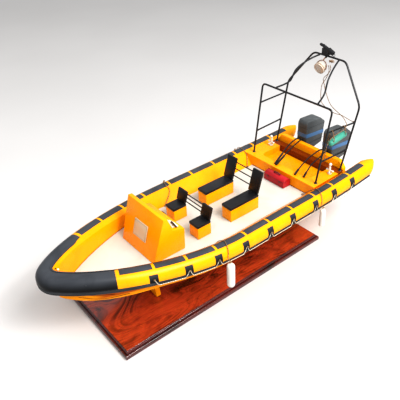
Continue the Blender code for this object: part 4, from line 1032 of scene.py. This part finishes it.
def build_console_trim():
    """The window's pane with a thin frame, and sleeves on the two levers."""
    low, high = (Vector(corner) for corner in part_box("console_window"))
    lean = math.atan2(0.0990 - 0.0803, 0.0615)
    half_tall = 0.0232 / 2
    half_wide = 0.0284 / 2
    place = Matrix.Translation((low + high) / 2) @ Matrix.Rotation(-lean, 4, "Y")

    def build(bm):
        rounded_box(bm, (-0.0005, -half_wide, -half_tall), (0.0005, half_wide, half_tall), 0.0002)

    pane = add_piece("console_pane", mesh_from("console_pane", build), PANE, place=place)
    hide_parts("console_window")
    inset = 0.0014
    corners = [(0.00052, side * (half_wide - inset), up * (half_tall - inset))
               for side, up in ((-1, -1), (1, -1), (1, 1), (-1, 1))]
    frame_line = tube_curve("console_pane_frame", [place @ Vector(corner) for corner in corners], 0.00028,
                            FRAME_GREY, resolution=2, cyclic=True)
    white = [Vector((0.0630, 0.0318, 0.1217)), Vector((0.0693, 0.0318, 0.1360))]
    tube_curve("lever_white", white, 0.00115, WHITE)
    black = [Vector((0.0578, 0.0334, 0.1206)), Vector((0.0648, 0.0334, 0.1326))]
    tube_curve("lever_black", black, 0.00100, SEAT_BLACK)


def build_bow_fittings():
    """A small white ball and a dark plug at the inner point of the bow, and a stud on the port side."""
    for name, place, radius, material in (("bow_ball", (0.2079, 0.0018, 0.1178), 0.0014, WHITE),
                                          ("bow_plug", (0.2096, -0.0012, 0.1183), 0.0009, ROD_BLACK)):
        profile = [(0, -radius)]
        for step in range(1, 12):
            angle = math.pi * step / 12
            profile.append((radius * math.sin(angle), -radius * math.cos(angle)))
        profile.append((0, radius))
        turned(name, profile, Matrix.Translation(place), material, steps=20)
    place, outward = tube_frame(0.1890)
    angle = math.radians(30)
    spot = off_tube(place, outward, angle, TUBE_RADIUS + SKIN)
    run = spot - place
    turned("bow_stud", [(0, -0.0004), (0.0009, -0.0004), (0.0009, 0.0002), (0.0005, 0.0006), (0, 0.0007)],
           pointing(spot, run), STRAKE_GREY, steps=18)


def build_toolbox_trim():
    """Lid seam, two latches and a darker grip on the toolbox."""
    back = BULKHEAD_X + 2 * GAP
    front = back + TOOLBOX_DEPTH
    low = DECK_Z + GAP
    seam = low + TOOLBOX_BODY
    high_y = TOOLBOX_LOW_Y + TOOLBOX_LENGTH
    corners = [(front, TOOLBOX_LOW_Y, seam), (front, high_y, seam), (back + 0.0001, high_y, seam),
               (back + 0.0001, TOOLBOX_LOW_Y, seam)]
    tube_curve("toolbox_seam", corners, 0.00028, RED_DARK, resolution=2, cyclic=True)

    def build(bm):
        for share in (0.2, 0.8):
            middle = TOOLBOX_LOW_Y + TOOLBOX_LENGTH * share
            rounded_box(bm, (front - 0.0002, middle - 0.0014, seam - 0.0028),
                        (front + 0.0006, middle + 0.0014, seam + 0.0004), 0.0002)

    add_piece("toolbox_latches", mesh_from("toolbox_latches", build), RED_DARK)
    grip_x = (front + back) / 2
    middle = TOOLBOX_LOW_Y + TOOLBOX_LENGTH / 2
    top = low + TOOLBOX_HEIGHT
    grip = [(grip_x, middle - 0.0055, top), (grip_x, middle - 0.0055, top + 0.0018),
            (grip_x, middle - 0.0047, top + 0.0024), (grip_x, middle + 0.0047, top + 0.0024),
            (grip_x, middle + 0.0055, top + 0.0018), (grip_x, middle + 0.0055, top)]
    tube_curve("toolbox_grip", grip, 0.00100, RED_DARK)


def cowl_ring(y, height, tilt, proud):
    """Points round a cowl with rounded corners, at a height that falls by the tilt toward the stern."""
    aft_x = COWL_AFT_X + 0.0021
    half = COWL_HALF_WIDTH + proud
    radius = 0.0014
    points = []
    corners = [(COWL_FRONT_X + proud, half, 0), (aft_x - proud, half, 90),
               (aft_x - proud, -half, 180), (COWL_FRONT_X + proud, -half, 270)]
    for x, side, start in corners:
        centre_x = x + (radius if start in (90, 180) else -radius)
        centre_y = side + (-radius if side > 0 else radius)
        for step in range(4):
            angle = math.radians(start + 30 * step)
            across = centre_x + math.cos(angle) * radius
            share = (COWL_FRONT_X - across) / (COWL_FRONT_X - aft_x)
            points.append(Vector((across, y + centre_y + math.sin(angle) * radius, height - tilt * share)))
    return points


def build_cowl_trim():
    """A blue band round each cowl and two seam lines on it."""
    for side, sign in (("port", 1), ("starboard", -1)):
        y = sign * ENGINE_Y

        def build(bm):
            heights = (0.1174, 0.1238)
            loops = []
            for proud in (0.00025, -0.0004):
                for height in heights:
                    loops.append([bm.verts.new(spot) for spot in cowl_ring(y, height, 0.0035, proud)])
            outer_low, outer_high, inner_low, inner_high = loops
            count = len(outer_low)
            for first, second in ((outer_low, outer_high), (outer_high, inner_high), (inner_high, inner_low),
                                  (inner_low, outer_low)):
                for index in range(count):
                    after = (index + 1) % count
                    bm.faces.new((first[index], first[after], second[after], second[index]))

        add_piece("cowl_band_" + side, mesh_from("cowl_band_" + side, build), STRIPE_BLUE)
        seams = [cowl_ring(y, height, tilt, 0.0) for height, tilt in ((0.1335, 0.0012), (0.1062, 0.0010))]
        tube_curves("cowl_seams_" + side, seams, 0.00022, ROD_BLACK, resolution=1, cyclic=True)


def blade_grid(turn):
    """One propeller blade: twisted more at the root, rounded at the tip."""
    top = []
    under = []
    for step in range(9):
        share = step / 8
        radius = 0.0022 + (0.0092 - 0.0022) * share
        chord = 0.0056 * math.sin(math.pi * (0.18 + 0.78 * share)) ** 0.7
        twist = math.radians(52 - 30 * share)
        row = []
        for part in range(7):
            along = (part / 6 - 0.5) * chord
            sweep = 0.0012 * share ** 2
            row.append((along, radius, twist, sweep, 0.00042 * math.sin(math.pi * part / 6) + 0.00008))
        for rows, side in ((top, 1), (under, -1)):
            made = []
            for along, reach, lean, sweep, thick in row:
                axial = along * math.sin(lean) + side * thick * math.cos(lean)
                across = along * math.cos(lean) - side * thick * math.sin(lean) + sweep
                angle = turn + across / reach
                made.append(Vector((axial, math.cos(angle) * reach, math.sin(angle) * reach)))
            rows.append(made)
    return top, under


def build_propellers():
    for side, sign in (("port", 1), ("starboard", -1)):
        body = "propeller_" + side
        hub = Matrix.Translation((PROP_X, sign * ENGINE_Y, LEG_FOOT_Z))

        def build(bm):
            for number in range(3):
                top, under = blade_grid(2 * math.pi * number / 3)
                shell_from(bm, top, under)

        blades = add_piece(body + "_blades", mesh_from(body + "_blades", build), BRASS, body, place=hub)
        half = PROP_HUB_LENGTH / 2
        profile = [(0, -half), (0.0006, -half), (0.0013, -half * 0.9), (0.0016, -half * 0.55), (0.0021, -half * 0.5),
                   (PROP_HUB_RADIUS, -half * 0.2), (PROP_HUB_RADIUS, half * 0.9), (PROP_HUB_RADIUS - 0.0003, half),
                   (0, half)]
        nut = turned(body + "_hub", profile, hub @ Matrix.Rotation(math.pi / 2, 4, "Y"), BRASS, body=body)
        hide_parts(body)


def build_leg_plates():
    """The plate over each propeller, and a smaller plate above it."""
    for side, sign in (("port", 1), ("starboard", -1)):
        y = sign * ENGINE_Y

        def build(bm):
            rounded_box(bm, (-0.2790, y - 0.0052, 0.0578), (-0.2530, y + 0.0052, 0.0587), 0.0003)
            rounded_box(bm, (-0.2665, y - 0.0036, 0.0640), (-0.2528, y + 0.0036, 0.0646), 0.0002)

        add_piece("leg_plates_" + side, mesh_from("leg_plates_" + side, build), COWL_GREY)


def build_arch_joints():
    """Short sleeves that close the gap where rods meet, and a foot plate under each leg."""
    sleeves = []
    for sign, front_share, rear_share in RUNGS:
        flip = Vector((1, sign, 1))
        front = HOOP_FRONT[0].lerp(HOOP_FRONT[1], front_share) * flip
        rear = HOOP_REAR[0].lerp(HOOP_REAR[1], rear_share) * flip
        for start, stop in ((front, rear), (rear, front)):
            sleeves.append([start, start + (stop - start).normalized() * 0.0034])
    for sign in (1, -1):
        front = Vector((HOOP_FRONT[1].x, sign * BRACE_FRONT_Y, HOOP_FRONT[1].z))
        rear = Vector((HOOP_REAR[2].x, sign * BRACE_REAR_Y, HOOP_REAR[2].z))
        run = (rear - front).normalized()
        sleeves.append([front, front + Vector((run.x, run.y, run.z - 0.25)).normalized() * 0.0030])
        sleeves.append([rear, rear - run * 0.0030])
    tube_curves("arch_sleeves", sleeves, ROD * 0.96, ROD_BLACK)

    def build(bm):
        for foot in (HOOP_FRONT[0], HOOP_REAR[0]):
            for sign in (1, -1):
                place = Matrix.Translation((foot.x, sign * foot.y, foot.z + 0.0005))
                bmesh.ops.create_cone(bm, cap_ends=True, segments=20, radius1=0.0027, radius2=0.0020, depth=0.0008,
                                      matrix=place)

    add_piece("arch_feet", mesh_from("arch_feet", build), ROD_BLACK)


def build_lamp():
    """The searchlight's drum with its rim and seam, the lens, and the cord's bundle beside it."""
    place = Matrix.Translation(LIGHT_CENTRE) @ Matrix.Rotation(math.pi / 2 + LIGHT_DOWN, 4, "Y")
    body = [(0, -0.0050), (0.0036, -0.0050), (0.0056, -0.0046), (0.0070, -0.0036), (0.0079, -0.0018), (0.0083, 0.0),
            (0.0083, 0.0006), (0.0087, 0.0008), (0.0087, 0.0015), (0.0083, 0.0017), (0.0083, 0.0036),
            (0.0087, 0.0039), (0.0087, 0.0050), (0.0080, 0.0050), (0.0078, 0.0040), (0, 0.0040)]
    drum = turned("searchlight_drum", body, place, LAMP_CREAM, steps=40)
    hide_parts("searchlight")
    lens = [(0, 0.0037), (0.0078, 0.0037), (0.0077, 0.0044), (0.0060, 0.0048), (0.0030, 0.00500), (0, 0.00505)]
    turned("searchlight_lens", lens, place, LENS, steps=40)
    seam = [(math.cos(2 * math.pi * index / 32) * 0.0086, math.sin(2 * math.pi * index / 32) * 0.0086, 0.0027)
            for index in range(32)]
    ring = tube_curve("searchlight_seam", [place @ Vector(spot) for spot in seam], 0.00035, BEIGE,
                      resolution=2, cyclic=True)
    bundle = Vector((-0.2535, 0.0086, 0.2492))
    for shift, size in (((0, 0, 0), 0.0026), ((0, 0.0022, -0.0006), 0.0024), ((0, -0.0018, -0.0010), 0.0020)):
        KNOTS.append(knot_route(bundle + Vector(shift), size))


def build_horn_details():
    """Rods, knobs, a grip and a wire ring on the loudhailer."""
    rods = [
        [HORN_START + Vector((0, 0.0018, 0.0010)), HORN_END + Vector((0, -0.0012, 0.0034))],
        [Vector((-0.2594, -0.0108, 0.2575)), Vector((-0.2594, -0.0060, 0.2500))],
        [Vector((-0.2570, -0.0040, 0.2560)), Vector((-0.2570, 0.0066, 0.2575))],
        [Vector((-0.2620, -0.0090, 0.2600)), Vector((-0.2620, 0.0030, 0.2560))],
    ]
    tube_curves("horn_rods", rods, 0.0009, SEAT_BLACK)

    def build(bm):
        for spot, radius in ((HORN_START, 0.0019), (HORN_START + Vector((0, 0.0060, 0.0004)), 0.0012),
                             (HORN_END + Vector((0, 0.0004, 0.0016)), 0.0017), (Vector((-0.2594, -0.0062, 0.2498)), 0.0016)):
            bmesh.ops.create_uvsphere(bm, u_segments=16, v_segments=10, radius=radius,
                                      matrix=Matrix.Translation(spot))

    add_piece("horn_knobs", mesh_from("horn_knobs", build), SEAT_BLACK)
    ring = []
    for index in range(24):
        angle = 2 * math.pi * index / 24
        ring.append(Vector((-0.2585, 0.0082 + math.cos(angle) * 0.0021, 0.2562 + math.sin(angle) * 0.0021)))
    tube_curve("horn_ring", ring, 0.00035, STRAKE_GREY, resolution=2, cyclic=True)


def build_float():
    """The green float with end caps and the lashings that hold it under the rung."""
    run = FLOAT_END - FLOAT_START
    length = run.length
    place = pointing(FLOAT_START, run)
    profile = [(0, 0)]
    for step in range(1, 8):
        angle = math.pi / 2 * step / 7
        profile.append((FLOAT_RADIUS * math.sin(angle), FLOAT_RADIUS * (1 - math.cos(angle)) * 0.8))
    for share in (0.16, 0.84):
        middle = length * share
        profile += [(FLOAT_RADIUS, middle - 0.0006), (FLOAT_RADIUS - 0.0003, middle), (FLOAT_RADIUS, middle + 0.0006)]
    for step in range(7):
        angle = math.pi / 2 * step / 7
        profile.append((FLOAT_RADIUS * math.cos(angle), length - FLOAT_RADIUS * 0.8 * (1 - math.sin(angle))))
    profile.append((0, length))
    body = turned("float_body", profile, place, TEAL, steps=36)
    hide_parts("marker_float")
    rung_front = HOOP_FRONT[0].lerp(HOOP_FRONT[1], RUNGS[2][1])
    rung_rear = HOOP_REAR[0].lerp(HOOP_REAR[1], RUNGS[2][2])
    loops = []
    for share in (0.13, 0.17, 0.83, 0.87):
        middle = FLOAT_START + run * share
        rung = rung_front.lerp(rung_rear, (rung_front.x - middle.x) / (rung_front.x - rung_rear.x))
        centre = (middle + rung) / 2
        tall = (rung.z - middle.z) / 2 + (FLOAT_RADIUS + ROD) / 2 + 0.0006
        loop = []
        for index in range(28):
            angle = 2 * math.pi * index / 28
            wide = FLOAT_RADIUS + 0.0004 if math.sin(angle) < 0.2 else FLOAT_RADIUS * 0.82
            loop.append(Vector((centre.x, centre.y + math.cos(angle) * wide,
                                centre.z + (ROD - FLOAT_RADIUS) / 2 + math.sin(angle) * tall)))
        loops.append(loop)
    tube_curves("float_lashing", loops, 0.00038, ROPE, resolution=2, cyclic=True)


CABLE_FEET = [
    [(-0.1675, -0.0128, 0.1020), (-0.1800, -0.0160, 0.1068), (-0.1890, -0.0180, 0.1096)],
    [(-0.1665, -0.0095, 0.1020), (-0.1800, -0.0120, 0.1056), (-0.1880, -0.0130, 0.1082)],
    [(-0.1660, 0.0295, 0.1020), (-0.1765, 0.0268, 0.1054)],
    [(-0.1705, 0.0430, 0.1020), (-0.1800, 0.0395, 0.1045)],
]


def build_cable_sleeves():
    """Thicker black sleeves on the cables' lower ends."""
    tube_curves("cable_sleeves", CABLE_FEET, 0.0016, SEAT_BLACK)


def build_bitt_trim():
    """A knob, a cross pin with knobs and a foot on each bitt."""
    def build(bm):
        for sign in (1, -1):
            low, high = (Vector(corner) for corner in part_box("bitt_port" if sign > 0 else "bitt_starboard"))
            middle = (low + high) / 2
            top = Vector((middle.x, middle.y, high.z - 0.0010))
            bmesh.ops.create_uvsphere(bm, u_segments=18, v_segments=10, radius=0.0024, matrix=Matrix.Translation(top))
            pin = Matrix.Translation((middle.x, middle.y, low.z + 0.0056)) @ Matrix.Rotation(math.pi / 2, 4, "X")
            bmesh.ops.create_cone(bm, cap_ends=True, segments=16, radius1=0.0012, radius2=0.0012, depth=0.0104,
                                  matrix=pin)
            for side in (1, -1):
                knob = Matrix.Translation((middle.x, middle.y + side * 0.0052, low.z + 0.0056))
                bmesh.ops.create_uvsphere(bm, u_segments=14, v_segments=8, radius=0.0017, matrix=knob)
            foot = Matrix.Translation((middle.x, middle.y, low.z + 0.0009))
            bmesh.ops.create_cone(bm, cap_ends=True, segments=20, radius1=0.0032, radius2=0.0024, depth=0.0014,
                                  matrix=foot)

    add_piece("bitt_trim", mesh_from("bitt_trim", build), WHITE)


def build_bulkhead_trim():
    """A darker line along the bulkhead's foot, where it meets the deck."""
    foot = []
    half = tube_y(BULKHEAD_X) - wall_foot(BULKHEAD_X) - 0.0008
    for share in (-1.0, -0.5, 0.0, 0.5, 1.0):
        foot.append(Vector((BULKHEAD_X + 0.0003, half * share, DECK_Z + 0.0002)))
    tube_curve("bulkhead_bead", foot, 0.0004, DARK_BROWN, resolution=2)


def build_knots():
    tube_curves("cord_knots", KNOTS, CORD_RADIUS * 0.9, ROPE, resolution=2, cyclic=True)


PANE = paint("pane_paint", srgb(206, 190, 166), srgb(198, 182, 156), srgb(212, 198, 178), 0.3, 0.1)
FRAME_GREY = paint("frame_line", srgb(176, 160, 138), srgb(166, 150, 128), srgb(186, 172, 150), 0.5)
LENS = paint("lens_glass", srgb(196, 188, 178), srgb(184, 174, 162), srgb(208, 200, 190), 0.22, 0.3)
YOKE_BROWN = paint("yoke_enamel", srgb(132, 100, 80), srgb(104, 78, 62), srgb(158, 124, 102), 0.4, 0.0, specular=0.3)
LAMP_CREAM = paint("lamp_enamel", srgb(206, 192, 178), srgb(194, 178, 162), srgb(216, 204, 192), 0.34, 0.1)



def shaded_yellow(name, tone, shade_colour, bands):
    """The yellow paint, darkened with painted shade where every band is full: each is an axis, a full and a bare place.
    """
    made = paint(name, *tone, 0.26, 0.0, specular=0.15)
    tree = made.node_tree
    main = tree.nodes["Principled BSDF"]
    source = main.inputs["Base Color"].links[0].from_socket
    place = tree.nodes.new("ShaderNodeTexCoord")
    face = tree.nodes.new("ShaderNodeNewGeometry")
    splits = {}
    for kind, output in (("place", place.outputs["Object"]), ("normal", face.outputs["Normal"])):
        splits[kind] = tree.nodes.new("ShaderNodeSeparateXYZ")
        tree.links.new(output, splits[kind].inputs["Vector"])
    total = None
    for kind, axis, full, bare in bands:
        scale = tree.nodes.new("ShaderNodeMapRange")
        scale.interpolation_type = "SMOOTHSTEP"
        scale.inputs["From Min"].default_value = full
        scale.inputs["From Max"].default_value = bare
        scale.inputs["To Min"].default_value = 1.0
        scale.inputs["To Max"].default_value = 0.0
        tree.links.new(splits[kind].outputs[axis], scale.inputs["Value"])
        if total is None:
            total = scale.outputs["Result"]
            continue
        both = tree.nodes.new("ShaderNodeMath")
        both.operation = "MULTIPLY"
        tree.links.new(total, both.inputs[0])
        tree.links.new(scale.outputs["Result"], both.inputs[1])
        total = both.outputs["Value"]
    mix = tree.nodes.new("ShaderNodeMix")
    mix.data_type = "RGBA"
    tree.links.new(total, mix.inputs[0])
    tree.links.new(source, mix.inputs[6])
    mix.inputs[7].default_value = shade_colour
    tree.links.new(mix.outputs[2], main.inputs["Base Color"])
    return made


WELL_BACK_X = -0.2185
WELL_TOP_Z = 0.1004
TONE = ((0.92, 0.355, 0.001, 1), (0.87, 0.325, 0.001, 1), (0.96, 0.385, 0.001, 1))
# Painted shade: the aft deck darkens to brown from the well's aft wall back toward the stern
WELL_SHADED_YELLOW = shaded_yellow("well_paint", TONE, (0.20, 0.036, 0.002, 1),
                      [("place", "X", WELL_BACK_X + 0.0004, WELL_BACK_X + 0.0036)])
# Painted shade on the hull's side under the tube: a darker band on faces that don't look up, aft of the bow's tip
HULL_SHADED_YELLOW = shaded_yellow("hull_paint", TONE, (0.52, 0.115, 0.001, 1),
                      [("place", "Z", 0.0755, 0.0738), ("place", "Z", 0.0835, 0.0845), ("normal", "Z", 0.40, 0.55),
                       ("place", "X", 0.1700, 0.1850)])

build_console_trim()
build_bow_fittings()
build_toolbox_trim()
build_cowl_trim()
build_propellers()
build_leg_plates()
build_arch_joints()
build_lamp()
build_horn_details()
build_float()
build_bulkhead_trim()
build_cable_sleeves()
build_bitt_trim()
build_knots()

# Nodes that keep their own solids, by finish
FINISHES = {
    HULL_SHADED_YELLOW: ["hull"],
    WELL_SHADED_YELLOW: ["aft_deck"],
    STRAKE_GREY: ["rub_strake"],
    CREAM: ["deck"],
    WHITE: ["control_levers", "bitt_port", "bitt_starboard"],
    SEAT_BLACK: ["seat_front_port_pad", "seat_front_starboard_pad", "seat_rear_port_pad", "seat_rear_starboard_pad",
                 "seat_backs_front", "seat_backs_rear", "horn", "control_cable_port_inner",
                 "control_cable_port_outer", "control_cable_starboard_inner", "control_cable_starboard_outer"],
    ROD_BLACK: ["arch_hoop_front", "arch_hoop_rear", "arch_rung_low_port", "arch_rung_low_starboard",
                "arch_rung_high_port", "arch_rung_high_starboard", "arch_brace_port", "arch_brace_starboard",
                "steering_wheel"],
    YOKE_BROWN: ["light_yoke"],
    COWL_GREY: ["outboard_cowl_port", "outboard_cowl_starboard", "outboard_leg_port", "outboard_leg_starboard"],
    RED: ["toolbox"],
}
for material, names in FINISHES.items():
    for name in names:
        finish_node(name, material)

# Painted blocks whose sharp edges are rounded: node, finish, width of the rounding
ROUNDED = [
    ("console", YELLOW, 0.0006), ("transom", YELLOW, 0.0007), ("cradle_front", YELLOW, 0.0005),
    ("cradle_rear", YELLOW, 0.0005), ("seat_front_port_box", YELLOW, 0.0004),
    ("seat_front_starboard_box", YELLOW, 0.0004), ("seat_rear_port_box", YELLOW, 0.0004),
    ("seat_rear_starboard_box", YELLOW, 0.0004),
]
for name, material, width in ROUNDED:
    bevelled_copy(name, material, width)


def make_floor():
    shader = Shader("floor_paper", 0.9, specular=0.2)
    paper = shader.ramp(shader.noise(3, 2), [(0.3, srgb(203, 202, 201)), (0.7, srgb(206, 205, 204))])
    # Painted shade: the floor paper darkens towards the far side, away from the camera
    far_shade = shader.add("ShaderNodeVectorMath", operation="DOT_PRODUCT")
    far_shade.inputs[1].default_value = (-0.55, -0.60, 0.0)
    shader.link(shader.place, far_shade.inputs[0])
    shader.colour(shader.mix(shader.scaled(far_shade.outputs["Value"], 0.15, 1.2, 0.0, 0.4), paper, srgb(120, 121, 123)))
    mesh = bpy.data.meshes.new("floor")
    size = 6.0
    mesh.from_pydata([(-size, -size, 0), (size, -size, 0), (size, size, 0), (-size, size, 0)], [], [(0, 1, 2, 3)])
    floor = bpy.data.objects.new("floor", mesh)
    mesh.materials.append(shader.made)
    bpy.context.scene.collection.objects.link(floor)


def area_light(name, direction, distance, size, power, colour=(1, 1, 1)):
    data = bpy.data.lights.new(name, "AREA")
    data.shape = "RECTANGLE"
    data.size, data.size_y = size
    data.energy = power
    data.color = colour
    light = bpy.data.objects.new(name, data)
    aim = Vector((0, 0, 0.08))
    place = aim + Vector(direction).normalized() * distance
    light.location = place
    light.rotation_euler = (aim - place).to_track_quat("-Z", "Y").to_euler()
    bpy.context.scene.collection.objects.link(light)


def make_light():
    """A big soft lamp from the port side and a sky that is bright overhead and dim at the horizon."""
    view = bpy.context.scene.view_settings
    view.view_transform = "Standard"
    view.exposure = 0.28
    view.gamma = 0.8
    world = bpy.data.worlds.new("studio")
    bpy.context.scene.world = world
    world.use_nodes = True
    tree = world.node_tree
    place = tree.nodes.new("ShaderNodeTexCoord")
    split = tree.nodes.new("ShaderNodeSeparateXYZ")
    scale = tree.nodes.new("ShaderNodeMapRange")
    scale.inputs["From Min"].default_value = 0.0
    scale.inputs["From Max"].default_value = 0.9
    scale.inputs["To Min"].default_value = 0.35
    scale.inputs["To Max"].default_value = 1.15
    tree.links.new(place.outputs["Generated"], split.inputs["Vector"])
    tree.links.new(split.outputs["Z"], scale.inputs["Value"])
    tree.links.new(scale.outputs["Result"], tree.nodes["Background"].inputs["Strength"])
    tree.nodes["Background"].inputs["Color"].default_value = (1, 0.99, 0.985, 1)
    area_light("key", (-0.12, 0.66, 0.74), 1.7, (0.9, 0.9), 30)
    area_light("glint", (-0.12, 0.66, 0.74), 1.6, (0.36, 0.07), 5)


make_floor()
make_light()
